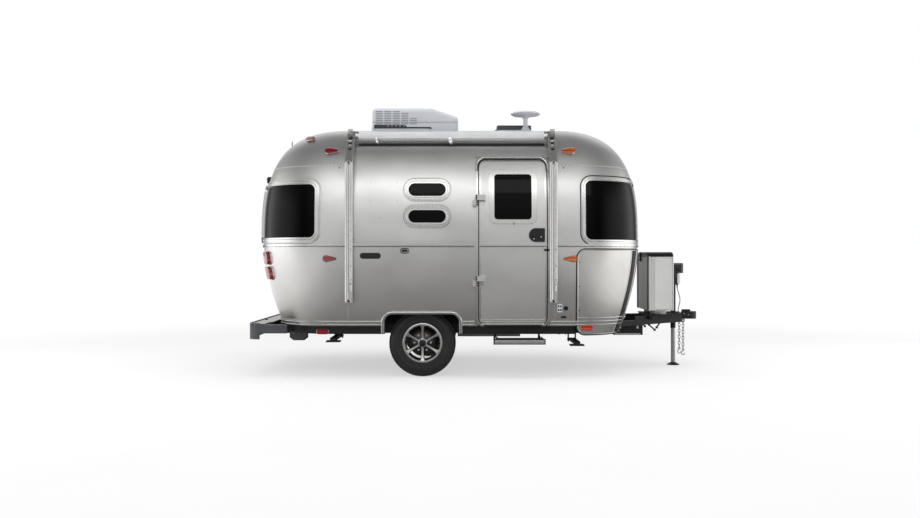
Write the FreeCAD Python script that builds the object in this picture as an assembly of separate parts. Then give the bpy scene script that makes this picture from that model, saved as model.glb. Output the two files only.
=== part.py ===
import FreeCAD, Part
import math
import os

# Travel caravan with a riveted aluminium body on one torsion axle.
# Millimetres, +X to the hitch, +Y to the street side, +Z up, ground at zero.

os.makedirs("parts", exist_ok=True)
Vector = FreeCAD.Vector
overrun = 10.0                      # how far a cutting tool passes the face it cuts
weld_joint = 1.0                    # gap between neighbouring lengths of one trim rail

# Body shell
half_width = 1220.0
roof_half_flat = 250.0
floor_z = 537.0
belt_z = 1375.0
roof_z = 2665.0
rear_seam_x = -1428.0
front_seam_x = 712.0
rear_cap_depth = 1040.0
front_cap_depth = 1006.0
side_tuck = 45.0
rear_tuck = 215.0
front_tuck = 180.0
tuck_power_share = 1.7
roof_power_share = 3.0
plan_power_share = 3.1
wall_thickness = 45.0
floor_thickness = 40.0
roof_joint_z = 2345.0
lower_rows, upper_rows, plan_columns = 5, 11, 20

# Trim on the shell
belt_height = 32.0
belt_proud = 14.0
rub_bottom = 544.0
rub_top = 592.0
rub_proud = 14.0
glass_thickness = 6.0
frame_proud = 12.0
frame_lap = 14.0
rear_frame_width = 45.0
front_frame_width = 36.0
drip_rail_height = 14.0

# Wrap windows at the ends: sight size of the glass
rear_glass_x = -1761.0
rear_glass_bottom = 1443.0
rear_glass_top = 2026.0
front_glass_x = 1018.0
front_glass_bottom = 1420.0
front_glass_top = 2065.0
end_glass_radius = 80.0
pane_radius = 40.0
post_width = 60.0
rear_post_y = 490.0
front_post_y = 470.0
escape_frame_proud = 34.0
escape_frame_width = 34.0

# Side windows
oval_left, oval_right = -818.0, -403.0
oval_pairs = ((1595.0, 1754.0), (1872.0, 2034.0))
oval_frame_width = 40.0
galley_left, galley_right = 60.0, 620.0
galley_bottom, galley_top = 1560.0, 2010.0
galley_radius = 70.0

# Wheels and axle
wheel_x = -664.0
tyre_radius = 350.0
tyre_width = 225.0
tyre_outer_y = 1100.0
tyre_bead_inset = 30.0
tyre_shoulder = 46.0
tyre_bulge = 11.0
rim_lip_radius = 209.0
rim_seat_radius = 193.0
rim_wall = 7.0
rim_dish = 22.0
spoke_disc_thickness = 22.0
spoke_count = 6
spoke_width = 34.0
hub_face_radius = 78.0
cap_radius = 42.0
drum_radius = 140.0
drum_depth = 70.0
hub_radius = 48.0
spindle_radius = 20.0
pin_gap = 0.08                      # radial clearance of a pin in its bore
face_gap = 0.3                      # between pieces that meet but move or are bolted on
arm_drop = 40.0
arm_reach = 150.0
arm_thickness = 30.0
arm_width = 64.0
axle_tube_size = 76.0
arch_left, arch_right = -1056.0, -280.0
arch_top = 660.0
arch_radius = 85.0
arch_trim_width = 35.0
arch_trim_bottom = 458.0
well_top = 790.0
well_inner_y = 790.0
well_wall = 12.0
well_margin = 8.0

# Chassis
rail_bottom = 430.0
rail_y = 690.0
rail_width = 60.0
rail_rear_x = -2230.0
rail_front_x = 1050.0
member_width = 50.0
member_height = 76.0
skirt_inset = 60.0
skirt_thickness = 6.0
skirt_bottom = 448.0
skirt_rear_x = -2050.0
skirt_front_x = 930.0
skid_rear_x, skid_front_x = -2120.0, -1918.0
skid_bottom = 351.0
skid_thickness = 12.0
outrigger_tip = 45.0
member_xs_shares = (0.0, 0.25, 0.37, 0.62, 0.8, 0.985)
outrigger_shares = (0.06, 0.25, 0.62, 0.8, 0.95)

# A-frame and coupler
tongue_rear_x = 760.0
tongue_front_x = 2290.0
tongue_rear_y = 660.0
tongue_front_y = 92.0
tongue_width = 60.0
tongue_height = 96.0
tongue_rise = 66.0
ball_x = 2420.0
ball_z = 585.0
ball_radius = 25.4
ball_gap = 0.6
coupler_tip_x = 2488.0
coupler_top = 647.0
coupler_bottom = 539.0
coupler_half = 58.0
coupler_wall = 8.0

# Safety chains
chain_wire = 8.0
chain_half_width = 15.0
chain_half_length = 26.0
chain_links = 9
chain_slack = 0.3
chain_x = 2314.0
chain_y = 92.0
chain_top_z = 522.0
chain_lug_thickness = 8.0
chain_lug_radius = 18.0
chain_lug_hole = 9.0
hook_radius = 22.0
hook_wire = 10.0
hook_eye_radius = 16.0
link_corner = 9.0

# Tongue jack
jack_x = 2219.0
jack_tube_radius = 30.0
jack_tube_wall = 5.0
jack_tube_bottom = 430.0
jack_stroke = 400.0
jack_leg_top = 530.0
jack_foot_radius = 72.0
jack_foot_height = 12.0
jack_head_bottom = 934.0
jack_head_waist = 1070.0
jack_head_top = 1187.0
jack_head_half = 58.0
jack_head_reach = 112.0
jack_flange_radius = 75.0
jack_flange_thickness = 10.0

# Gas bottles and their cover
cover_rear_x, cover_front_x = 1865.0, 2150.0
cover_half = 330.0
cover_bottom, cover_top = 650.0, 1313.0
cover_radius = 120.0
cover_wall = 5.0
cover_lid_bottom = 1258.0
cover_lid_lap = 4.0
cover_rib_count = 3
cover_rib_pitch = 26.0
cover_rib_proud = 5.0
bottle_radius = 132.0
bottle_y = 158.0
bottle_top = 1120.0
bottle_shoulder = 90.0
bottle_ring_height = 34.0
bottle_post_radius = 10.0
tray_thickness = 8.0
tray_z = 606.0

# Box under the drawbar
tray_box_rear_x, tray_box_front_x = 1440.0, 1820.0
tray_box_bottom, tray_box_top = 365.0, 480.0
tray_box_half = 225.0
tray_box_slope = 50.0
tray_strap_half = 420.0
tray_strap_width = 30.0

# Rear bumper
bumper_x = -2488.0
bumper_half = 1130.0
bumper_depth = 62.0
bumper_bottom, bumper_top = 394.0, 564.0
bumper_radius = 120.0
bumper_arm_x = -2079.0
bumper_arm_bottom, bumper_arm_top = 456.0, 546.0
bumper_arm_width = 40.0
tray_front_x = -2314.0
lid_half = 860.0
lid_thickness = 9.0
lid_gap = 5.0
lid_pin_radius = 6.0

# Roof
ac_rear_x, ac_slope_x, ac_front_x = -1264.0, -598.0, -293.0
ac_half = 350.0
ac_top, ac_front_z = 2940.0, 2840.0
ac_radius = 45.0
ac_skirt_top = 2728.0
ac_skirt_front_x = -590.0
ac_skirt_proud = 8.0
louvre_columns, louvre_rows = 5, 8
louvre_pitch_x, louvre_pitch_z = 96.0, 20.0
louvre_length, louvre_height, louvre_depth = 80.0, 9.0, 12.0
louvre_top = 2905.0
louvre_first_x = -1222.0
antenna_x, antenna_y = 459.0, -500.0
antenna_radius = 165.0
antenna_bottom, antenna_top = 2817.0, 2873.0
antenna_stem_radius = 78.0
antenna_neck_radius = 24.0
vent_rear_x, vent_front_x = 154.0, 550.0
vent_wall = 34.0
vent_base_top = 2712.0
vent_lid_top = 2766.0
vent_lid_wall = 4.0
vent_gap = 0.4
vent_pin_radius = 5.0

# Awning
awning_y, awning_z = -1000.0, 2535.0
awning_radius = 50.0
arm_rear_x = (-1455.0, -1375.0)
arm_front_x = (653.0, 733.0)
awning_foot_inset = 17.0
awning_arm_y = -1275.0
awning_arm_depth = 34.0
awning_arm_bottom = 782.0
awning_arm_top = 2235.0
awning_foot_height = 90.0
awning_groove = 14.0

# Entrance door
door_left, door_right = -72.0, 629.0
door_bottom, door_top = 546.0, 2272.0
door_radius = 85.0
door_gap = 10.0
door_skin = 8.0
door_relief = 16.0
door_frame_width = 36.0
hinge_x, hinge_y = -97.0, -1250.0
hinge_bands = ((950.0, 1058.0), (1784.0, 1897.0))
hinge_radius = 11.0
hinge_pin_radius = 5.0
door_glass_left, door_glass_right = 71.0, 485.0
door_glass_bottom, door_glass_top = 1628.0, 2129.0
door_glass_radius = 36.0
door_glass_frame = 30.0
handle_left, handle_right = 443.0, 607.0
handle_bottom, handle_top = 1410.0, 1552.0
handle_proud = 20.0
handle_recess = 6.0
keyhole_radius = 9.0
keyhole_zs = (1456.0, 1522.0)
lever_width = 86.0

# Entry step
step_left, step_right = 74.0, 611.0
step_tread_bottom, step_tread_top = 353.0, 407.0
step_tread_outer_y, step_tread_inner_y = -1275.0, -1086.0
step_plate = 6.0
step_lip = 60.0
step_bar_bottom, step_bar_top = 490.0, 507.0
step_pivot_y, step_pivot_z = -790.0, 412.0
step_link_spacing = 96.0
step_link_out, step_link_drop = 172.0, 32.0
step_link_width = 28.0
step_pin_radius = 6.0
step_lead_plane, step_follower_plane = 10.0, 26.0
step_hanger_plane, step_inner_cheek = 18.0, 36.0

# Stabilizers
leg_length = 500.0
leg_width = 60.0
leg_height = 34.0
leg_pivot_y = 470.0
leg_pivot_zs = {"front": 340.0, "rear": 380.0}
leg_side_gap = 5.0
leg_pin_radius = 8.0
leg_lug_thickness = 9.0
leg_foot_width = 150.0
leg_foot_length = 120.0
leg_foot_thickness = 14.0
leg_xs = {"front": 978.0, "rear": -1621.0}

# Front stone guards
guard_side_x = 943.0
guard_top, guard_bottom = 1332.0, 448.0
guard_front_y = 560.0
guard_radius = 90.0
guard_proud = 12.0
guard_gap = 2.0
guard_stud_radius = 9.0
guard_stud_spots = ((1010.0, 1180.0), (1010.0, 640.0), (1330.0, 1180.0), (1330.0, 640.0))

# Lamps
lamp_proud = 22.0
marker_length, marker_height = 140.0, 64.0
marker_zs = (2375.0, 1238.0)
rear_marker_x, front_marker_x = -1620.0, 870.0
tail_y, tail_width, tail_radius = 880.0, 120.0, 40.0
tail_zs = ((1016.0, 1150.0), (1176.0, 1310.0))
tail_proud = 34.0
clearance_x, clearance_z = -1885.0, 2538.0
clearance_length, clearance_height = 100.0, 44.0
camera_z, camera_radius, camera_reach = 2152.0, 40.0, 44.0

# Small fittings of the walls
fitting_proud = 7.0
badge_x, badge_z = (-1306.0, -1089.0), (1236.0, 1297.0)
port_x, port_z = (-890.0, -795.0), (1290.0, 1348.0)
outlet_x, outlet_z = (740.0, 789.0), (681.0, 766.0)
inlet_x, inlet_z = (805.0, 852.0), (698.0, 746.0)
hatch_x, hatch_z = (-1330.0, -1110.0), (690.0, 1010.0)
hatch_corner = 30.0

parts = {}


def box(x, y, z):
    """Box between pairs of limits, given in either order."""
    low = [min(pair) for pair in (x, y, z)]
    high = [max(pair) for pair in (x, y, z)]
    return Part.makeBox(high[0] - low[0], high[1] - low[1], high[2] - low[2], Vector(*low))


def rod(start, end, radius):
    """Round bar between two points."""
    start, end = Vector(*start), Vector(*end)
    return Part.makeCylinder(radius, (end - start).Length, start, end - start)


def rounded(u, v, radius):
    """Closed outline of a rounded rectangle in the XY plane."""
    (u0, u1), (v0, v1) = sorted(u), sorted(v)
    radius = min(radius, (u1 - u0) / 2, (v1 - v0) / 2)
    inset = radius * (1 - math.sqrt(0.5))
    starts = ((u0 + radius, v0), (u1, v0 + radius), (u1 - radius, v1), (u0, v1 - radius))
    ends = ((u1 - radius, v0), (u1, v1 - radius), (u0 + radius, v1), (u0, v0 + radius))
    middles = ((u1 - inset, v0 + inset), (u1 - inset, v1 - inset),
               (u0 + inset, v1 - inset), (u0 + inset, v0 + inset))
    edges = []
    for k, (start, end, middle) in enumerate(zip(starts, ends, middles)):
        start, end, middle = (Vector(*p, 0) for p in (start, end, middle))
        after = Vector(*starts[(k + 1) % len(starts)], 0)
        if (end - start).Length > radius * 1e-6:
            edges.append(Part.makeLine(start, end))
        edges.append(Part.Arc(end, middle, after).toShape())
    return Part.Wire(edges)


def pad_z(x, y, z, radius):
    """Plate with rounded corners seen from above."""
    low, high = sorted(z)
    face = Part.Face(rounded(x, y, radius))
    face.translate(Vector(0, 0, low))
    return face.extrude(Vector(0, 0, high - low))


def pad_y(x, z, y, radius):
    """Plate with rounded corners seen from the side."""
    low, high = sorted(y)
    face = Part.Face(rounded(x, z, radius))
    face.rotate(Vector(), Vector(1, 0, 0), 90)
    face.translate(Vector(0, high, 0))
    return face.extrude(Vector(0, low - high, 0))


def pad_x(y, z, x, radius):
    """Plate with rounded corners seen from an end."""
    low, high = sorted(x)
    face = Part.Face(rounded(y, z, radius))
    face.rotate(Vector(), Vector(1, 1, 1), 120)
    face.translate(Vector(low, 0, 0))
    return face.extrude(Vector(high - low, 0, 0))


def prism_y(points, y):
    """Prism along Y of an outline given as (x, z) pairs."""
    low, high = sorted(y)
    wire = Part.makePolygon([Vector(x, low, z) for x, z in points + points[:1]])
    return Part.Face(wire).extrude(Vector(0, high - low, 0))


def prism_x(points, x):
    """Prism along X of an outline given as (y, z) pairs."""
    low, high = sorted(x)
    wire = Part.makePolygon([Vector(low, y, z) for y, z in points + points[:1]])
    return Part.Face(wire).extrude(Vector(high - low, 0, 0))


def prism_z(points, z):
    """Prism along Z of an outline given as (x, y) pairs."""
    low, high = sorted(z)
    wire = Part.makePolygon([Vector(x, y, low) for x, y in points + points[:1]])
    return Part.Face(wire).extrude(Vector(0, 0, high - low))


def fuse(shapes):
    """One solid, or one compound, out of shapes that meet."""
    shapes = list(shapes)
    if len(shapes) == 1:
        return shapes[0]
    return shapes[0].fuse(shapes[1:]).removeSplitter()


def mirrored(shape):
    """Copy on the other side of the centre line."""
    return shape.mirror(Vector(), Vector(0, 1, 0))


def spun_y(points, y0, outward):
    """Solid of revolution about the Y axis from (radius, depth inward) pairs."""
    wire = Part.makePolygon([Vector(r, y0 - outward * d, 0) for r, d in points + points[:1]])
    return Part.Face(wire).revolve(Vector(), Vector(0, 1, 0), 360)


def spun_z(points):
    """Solid of revolution about the Z axis from (radius, height) pairs."""
    wire = Part.makePolygon([Vector(r, 0, z) for r, z in points + points[:1]])
    return Part.Face(wire).revolve(Vector(), Vector(0, 0, 1), 360)


def superellipse(angle, power):
    """Radius of a unit superellipse in one direction."""
    return (abs(math.cos(angle)) ** power + abs(math.sin(angle)) ** power) ** (-1 / power)


CAPS = {
    "rear": (rear_seam_x, rear_cap_depth, rear_tuck, -1),
    "front": (front_seam_x, front_cap_depth, front_tuck, 1),
}


def shell_rows(depth, end_tuck, inset, low_z):
    """Height, half width and reach of each level of an end, from the bottom to the roof."""
    rows = []
    for k in range(lower_rows):
        z = low_z + (belt_z - low_z) * k / lower_rows
        tuck = ((belt_z - z) / (belt_z - floor_z)) ** tuck_power_share
        rows.append((z, half_width - inset - side_tuck * tuck, depth - inset - end_tuck * tuck))
    for k in range(upper_rows + 1):
        angle = math.pi / 2 * k / upper_rows
        r = superellipse(angle, roof_power_share)
        across, up = r * math.cos(angle), r * math.sin(angle)
        rows.append((belt_z + (roof_z - belt_z - inset) * up,
                     roof_half_flat + (half_width - inset - roof_half_flat) * across,
                     (depth - inset) * across))
    return rows


def cap_skin(end, inset, low_z):
    """Domed skin of one end: its face, its foot edge and its edges at the seam."""
    seam_x, depth, end_tuck, way = CAPS[end]
    grid = []
    for z, half, reach in shell_rows(depth, end_tuck, inset, low_z):
        row = []
        for j in range(plan_columns + 1):
            angle = math.pi * (j / plan_columns - 1 / 2)
            r = superellipse(angle, plan_power_share)
            row.append(Vector(seam_x + way * reach * r * math.cos(angle),
                              half * r * math.sin(angle), z))
        grid.append(row[::-way])
    surface = Part.BSplineSurface()
    surface.interpolate(grid)
    skin = surface.toShape()
    foot = min(skin.Edges, key=lambda e: e.BoundBox.ZMax)
    seam = [e for e in skin.Edges if not e.isSame(foot)]
    return skin, foot, seam, (grid[0][0], grid[0][-1])


def flat(edges):
    """Flat face inside a closed chain of edges."""
    return Part.Face(Part.Wire(Part.__sortEdges__(edges)))


def sewn(faces):
    """Solid inside a closed set of faces."""
    skin = Part.Compound(faces)
    skin.sewShape()
    solid = Part.makeSolid(skin.Shells[0])
    if solid.Volume < 0:
        solid.reverse()
    return solid


def middle_outline(inset, low_z):
    """Section of the straight middle, open at its foot, and the two ends of it."""
    rows = shell_rows(rear_cap_depth, rear_tuck, inset, low_z)
    edges, feet, tops = [], [], []
    for sign in (-1, 1):
        curve = Part.BSplineCurve()
        curve.interpolate([Vector(rear_seam_x, sign * half, z) for z, half, reach in rows])
        edges.append(curve.toShape())
        feet.append(curve.StartPoint)
        tops.append(curve.EndPoint)
    return edges + [Part.makeLine(*tops)], feet


HULLS = {}
LAYERS = {}
MIDDLE_RUN = Vector(front_seam_x - rear_seam_x, 0, 0)


def hull(zone, inset, low_z=floor_z):
    """Body solid of a zone at an inset from the outside, built once for each size."""
    key = (zone, inset, low_z)
    if key not in HULLS:
        if zone == "middle":
            edges, feet = middle_outline(inset, low_z)
            HULLS[key] = flat(edges + [Part.makeLine(*feet)]).extrude(MIDDLE_RUN)
        else:
            skin, foot, seam, feet = cap_skin(zone, inset, low_z)
            sill = Part.makeLine(*feet)
            HULLS[key] = sewn([skin, flat(seam + [sill]), flat([foot, sill])])
    return HULLS[key]


def layer(zone, outer, inner, low_z=floor_z):
    """Skin of a zone between two insets, built once for each size."""
    key = (zone, outer, inner, low_z)
    if key not in LAYERS:
        if zone == "middle":
            edges_out, feet_out = middle_outline(outer, low_z)
            edges_in, feet_in = middle_outline(inner, low_z)
            steps = [Part.makeLine(a, b) for a, b in zip(feet_out, feet_in)]
            LAYERS[key] = flat(edges_out + edges_in + steps).extrude(MIDDLE_RUN)
        else:
            skin_out, foot_out, seam_out, feet_out = cap_skin(zone, outer, low_z)
            skin_in, foot_in, seam_in, feet_in = cap_skin(zone, inner, low_z)
            steps = [Part.makeLine(a, b) for a, b in zip(feet_out, feet_in)]
            LAYERS[key] = sewn([skin_out, skin_in, flat(seam_out + seam_in + steps),
                                flat([foot_out, foot_in] + steps)])
    return LAYERS[key]


def section(inset, x):
    """Body solid with the middle's section between two stations along it."""
    edges, feet = middle_outline(inset, floor_z)
    slice_face = flat(edges + [Part.makeLine(*feet)])
    low, high = sorted(x)
    slice_face.translate(Vector(low - rear_seam_x, 0, 0))
    return slice_face.extrude(Vector(high - low, 0, 0))


def side(y_sign):
    """Limits across the body of one side of it."""
    return (0, y_sign * (half_width + 20 * overrun))


ALL_Y = (-half_width - 20 * overrun, half_width + 20 * overrun)
FAR_REAR, FAR_FRONT = bumper_x - overrun, coupler_tip_x + overrun
ZONE_X = {
    "rear": (FAR_REAR, rear_seam_x - weld_joint / 2),
    "middle": (rear_seam_x + weld_joint / 2, front_seam_x - weld_joint / 2),
    "front": (front_seam_x + weld_joint / 2, FAR_FRONT),
}


def door_prism(grow):
    """Doorway outline through the curb wall, grown on every edge."""
    return pad_y((door_left - grow, door_right + grow), (door_bottom - grow, door_top + grow),
                 (0, ALL_Y[0]), door_radius + grow)


def doorway():
    """Tools that cut the doorway, down through the foot of the wall."""
    slot = box((door_left - door_gap, door_right + door_gap), (0, ALL_Y[0]),
               (floor_z - overrun, door_bottom + door_radius))
    return [door_prism(door_gap), slot]


def arch_prism(grow=0.0, low=None):
    """Wheel arch outline through both walls."""
    low = floor_z - 2 * overrun if low is None else low
    arch = pad_y((arch_left - grow, arch_right + grow), (low - arch_radius * 2, arch_top + grow),
                 ALL_Y, arch_radius + grow)
    return arch.common(box((arch_left - grow, arch_right + grow), ALL_Y, (low, arch_top + grow)))


def end_outline(end, grow=0.0):
    """Wrap window of an end as one opening, grown on every edge."""
    if end == "rear":
        x = (rear_glass_x + grow, FAR_REAR - end_glass_radius * 2)
        z = (rear_glass_bottom - grow, rear_glass_top + grow)
    else:
        x = (front_glass_x - grow, FAR_FRONT + end_glass_radius * 2)
        z = (front_glass_bottom - grow, front_glass_top + grow)
    return pad_y(x, z, ALL_Y, end_glass_radius + grow)


def end_panes(end, grow=0.0):
    """Openings of the side panes and the middle pane of a wrap window."""
    seam_x, depth, end_tuck, way = CAPS[end]
    post_y = rear_post_y if end == "rear" else front_post_y
    bottom = rear_glass_bottom if end == "rear" else front_glass_bottom
    top = rear_glass_top if end == "rear" else front_glass_top
    x = (seam_x, seam_x + way * 2 * depth)
    z = (bottom - grow, top + grow)
    inner, outer = post_y - post_width / 2 + grow, post_y + post_width / 2 - grow
    middle_x = (seam_x + way * depth / 2, seam_x + way * 2 * depth)
    panes = [pad_x((-inner, inner), z, middle_x, pane_radius + grow)]
    y = (-outer, -half_width - 20 * overrun)
    curb_pane = end_outline(end, grow).common(pad_x(y, z, x, pane_radius + grow))
    return panes + [curb_pane, mirrored(curb_pane)]


def side_openings(sign, grow=0.0):
    """Openings of the windows of one side wall."""
    y = side(sign)
    found = []
    for low, high in oval_pairs:
        radius = (high - low) / 2 + grow
        found.append(pad_y((oval_left - grow, oval_right + grow), (low - grow, high + grow), y,
                           radius))
    if sign > 0:
        found.append(pad_y((galley_left - grow, galley_right + grow),
                           (galley_bottom - grow, galley_top + grow), y, galley_radius + grow))
    return found


def build_shell():
    middle = layer("middle", 0, wall_thickness)
    vent_hole = box((vent_rear_x + vent_wall, vent_front_x - vent_wall),
                    (-(vent_front_x - vent_rear_x) / 2 + vent_wall,
                     (vent_front_x - vent_rear_x) / 2 - vent_wall),
                    (roof_joint_z, roof_z + overrun))
    x = (rear_seam_x - overrun, front_seam_x + overrun)
    upper = box(x, ALL_Y, (roof_joint_z, roof_z + overrun))
    parts["roof"] = middle.common(upper).cut(vent_hole)
    for name, sign in (("wall_curb", -1), ("wall_street", 1)):
        wall = middle.common(box(x, side(sign), (floor_z - overrun, roof_joint_z)))
        tools = side_openings(sign) + [arch_prism()]
        if sign < 0:
            tools += doorway()
        parts[name] = wall.cut(tools)
    for end in ("rear", "front"):
        skin = layer(end, 0, wall_thickness)
        x = ZONE_X[end]
        wide = (min(x) - overrun, max(x) + overrun)
        below = box(wide, ALL_Y, (floor_z - overrun, belt_z))
        above = box(wide, ALL_Y, (belt_z, roof_z + overrun))
        parts[end + "_cap_lower"] = skin.common(below)
        parts[end + "_cap_upper"] = skin.common(above).cut(end_panes(end))


def build_floor():
    slab_z = (floor_z - overrun, floor_z + floor_thickness)
    slabs = [hull(zone, wall_thickness).common(box((FAR_REAR, FAR_FRONT), ALL_Y, slab_z))
             for zone in ("rear", "middle", "front")]
    floor = fuse(slabs)
    well_x = (arch_left - well_margin, arch_right + well_margin)
    inner = hull("middle", wall_thickness)
    wells, holes = [], []
    for sign in (-1, 1):
        outer_y = (sign * well_inner_y, sign * half_width)
        room_y = (sign * (well_inner_y + well_wall), sign * half_width)
        wells.append(box(well_x, outer_y, (floor_z, well_top)))
        holes.append(box((well_x[0] + well_wall, well_x[1] - well_wall), room_y,
                         (floor_z - overrun, well_top - well_wall)))
    floor = fuse([floor] + [well.common(inner) for well in wells])
    parts["floor"] = floor.cut(holes)


def build_trim():
    belt = [belt_z - belt_height / 2, belt_z + belt_height / 2]
    gap_x = (door_left - door_gap - door_frame_width, door_right + door_gap + door_frame_width)
    door_clear = box(gap_x, (0, ALL_Y[0]), (floor_z - overrun, roof_z))
    guard_clear = box((guard_side_x, FAR_FRONT), ALL_Y, (guard_bottom, guard_top))
    arm_clear = [box(x, (0, ALL_Y[0]), (0, awning_arm_bottom + awning_foot_height))
                 for x in (arm_rear_x, arm_front_x)]
    belts, rubs = [], []
    for zone in ("rear", "middle", "front"):
        x = ZONE_X[zone]
        belts.append(layer(zone, -belt_proud, 0).common(box(x, ALL_Y, belt)).cut(door_clear))
        rub = layer(zone, -rub_proud, 0).common(box(x, ALL_Y, (rub_bottom, rub_top)))
        rubs.append(rub.cut([door_clear, guard_clear, arch_prism(arch_trim_width)]))
    parts["belt_rail"] = Part.Compound([s for b in belts for s in b.Solids])
    ring = arch_prism(arch_trim_width).cut(arch_prism())
    arches = []
    skirt = layer("middle", -rub_proud, -face_gap, arch_trim_bottom)
    legs = arch_prism(arch_trim_width, arch_trim_bottom).cut(
        arch_prism(0.0, arch_trim_bottom - overrun))
    for sign in (-1, 1):
        arches += skirt.common(box((arch_left * 2, 0), side(sign), (0, roof_z))).common(legs).Solids
    parts["rub_rail"] = Part.Compound([s for r in rubs for s in r.Solids] + arches)


def build_windows():
    glass, frames = [], []
    for end in ("rear", "front"):
        pane = layer(end, 0, glass_thickness)
        proud = layer(end, -frame_proud, 0)
        for opening in end_panes(end):
            glass += pane.common(opening).Solids
        width = rear_frame_width if end == "rear" else front_frame_width
        frame = proud.common(end_outline(end, width - frame_lap)).cut(end_panes(end, -frame_lap))
        if end == "rear":
            y = rear_post_y - post_width / 2
            z = (rear_glass_bottom, rear_glass_top)
            outer = pad_x((-y - escape_frame_width, y + escape_frame_width),
                          (z[0] - escape_frame_width, z[1] + escape_frame_width),
                          (FAR_REAR, rear_seam_x - rear_cap_depth / 2), end_glass_radius)
            inner = pad_x((-y, y), z, (FAR_REAR, rear_seam_x - rear_cap_depth / 2),
                          end_glass_radius - escape_frame_width)
            frame = fuse([frame, layer(end, -escape_frame_proud, 0).common(outer.cut(inner))])
        frames.append(frame)
    parts["end_glass"] = Part.Compound(glass)
    parts["end_window_frames"] = Part.Compound([s for f in frames for s in f.Solids])
    pane = layer("middle", 0, glass_thickness)
    proud = layer("middle", -frame_proud, 0)
    panes, rings = [], []
    for sign in (-1, 1):
        holes = side_openings(sign)
        outer = side_openings(sign, oval_frame_width - frame_lap)
        inner = side_openings(sign, -frame_lap)
        for hole, large, small in zip(holes, outer, inner):
            panes += pane.common(hole).Solids
            rings += proud.common(large.cut(small)).Solids
    parts["side_glass"] = Part.Compound(panes)
    parts["side_window_frames"] = Part.Compound(rings)


def build_door():
    y_out = ALL_Y[0]
    leaf = layer("middle", 0, wall_thickness).common(door_prism(0))
    relief = hull("middle", door_skin).common(
        box((door_right - door_relief, door_right + overrun), (0, y_out), (0, roof_z)))
    glass_hole = pad_y((door_glass_left, door_glass_right), (door_glass_bottom, door_glass_top),
                       (0, y_out), door_glass_radius)
    sight = pad_y((door_glass_left + frame_lap, door_glass_right - frame_lap),
                  (door_glass_bottom + frame_lap, door_glass_top - frame_lap), (0, y_out),
                  door_glass_radius)
    rim = pad_y((door_glass_left - door_glass_frame, door_glass_right + door_glass_frame),
                (door_glass_bottom - door_glass_frame, door_glass_top + door_glass_frame),
                (0, y_out), door_glass_radius + door_glass_frame)
    proud = layer("middle", -frame_proud, 0)
    belt = layer("middle", -belt_proud, door_skin / 2).common(
        box((door_left, door_right), (0, y_out),
            (belt_z - belt_height / 2, belt_z + belt_height / 2)))
    leaf = leaf.cut([relief, glass_hole])
    parts["door_glass"] = layer("middle", 0, glass_thickness).common(glass_hole)
    parts["door_window_frame"] = proud.common(rim.cut(sight))
    knuckles, bores = [], []
    for low, high in hinge_bands:
        middle = (low + high) / 2
        z = (middle + face_gap / 2, high)
        strap = fuse([
            box((door_left + hinge_radius, door_left + 6 * hinge_radius),
                (hinge_y - hinge_radius, -half_width + wall_thickness / 2), z),
            box((hinge_x, door_left + 6 * hinge_radius),
                (hinge_y - hinge_radius, hinge_y + hinge_radius / 3), z)])
        strap = strap.cut(hull("middle", door_skin / 2))
        sleeve = rod((hinge_x, hinge_y, middle + face_gap / 2), (hinge_x, hinge_y, high),
                     hinge_radius)
        pin = rod((hinge_x, hinge_y, low), (hinge_x, hinge_y, high), hinge_pin_radius)
        knuckles += [strap, sleeve, pin]
    parts["door_leaf"] = fuse([leaf, belt] + knuckles)
    handle_height = handle_top - handle_bottom
    handle_middle = (handle_bottom + handle_top) / 2
    rounded_end = rod((handle_left + handle_height / 2, 0, handle_middle),
                      (handle_left + handle_height / 2, y_out, handle_middle), handle_height / 2)
    grip = fuse([rounded_end, pad_y((handle_left + handle_height / 2 - handle_proud, handle_right),
                                    (handle_bottom, handle_top), (0, y_out), handle_proud / 2)])
    plate = layer("middle", -handle_proud, 0).common(grip)
    well = layer("middle", -handle_proud - overrun, -handle_recess).common(
        pad_y((handle_left + handle_proud, handle_left + handle_proud + lever_width),
              (handle_bottom + handle_proud, handle_top - handle_proud), (0, y_out),
              handle_proud))
    keys = [rod((handle_right - 2 * keyhole_radius, 0, z), (handle_right - 2 * keyhole_radius, y_out, z),
                keyhole_radius) for z in keyhole_zs]
    pocket = layer("middle", -handle_proud - overrun, handle_recess - handle_proud)
    lever = layer("middle", -handle_proud - handle_recess, 0).common(
        pad_y((handle_left + handle_proud, handle_left + handle_proud + lever_width),
              (handle_middle - handle_proud / 2, handle_middle + handle_proud / 2), (0, y_out),
              handle_proud / 2))
    plate = plate.cut([well] + [pocket.common(key) for key in keys])
    parts["door_handle"] = fuse([plate, lever])
    ring = door_prism(door_gap + door_frame_width - frame_lap).cut(door_prism(door_gap))
    frame = proud.common(ring)
    fixed = []
    for low, high in hinge_bands:
        middle = (low + high) / 2
        strap = box((hinge_x - 4 * hinge_radius, hinge_x),
                    (hinge_y - hinge_radius, -half_width + wall_thickness / 3),
                    (low, middle - face_gap / 2)).cut(hull("middle", 0))
        sleeve = rod((hinge_x, hinge_y, low), (hinge_x, hinge_y, middle - face_gap / 2),
                     hinge_radius)
        fixed += [strap, sleeve]
        bores.append(rod((hinge_x, hinge_y, low - overrun), (hinge_x, hinge_y, high + overrun),
                         hinge_pin_radius + pin_gap))
    drip_z = door_top + door_gap + door_frame_width - frame_lap - drip_rail_height / 2
    drip = layer("middle", -2 * frame_proud, 0).common(
        box((door_left - door_frame_width, door_right + door_frame_width), (0, y_out),
            (drip_z, drip_z + drip_rail_height)))
    parts["door_frame"] = fuse([frame, drip] + fixed).cut(bores)


def placed_wheel(shape, sign):
    """Turn a piece built for the street side about the axle line to its side."""
    shape.translate(Vector(wheel_x, 0, tyre_radius))
    return shape if sign > 0 else mirrored(shape)


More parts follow.
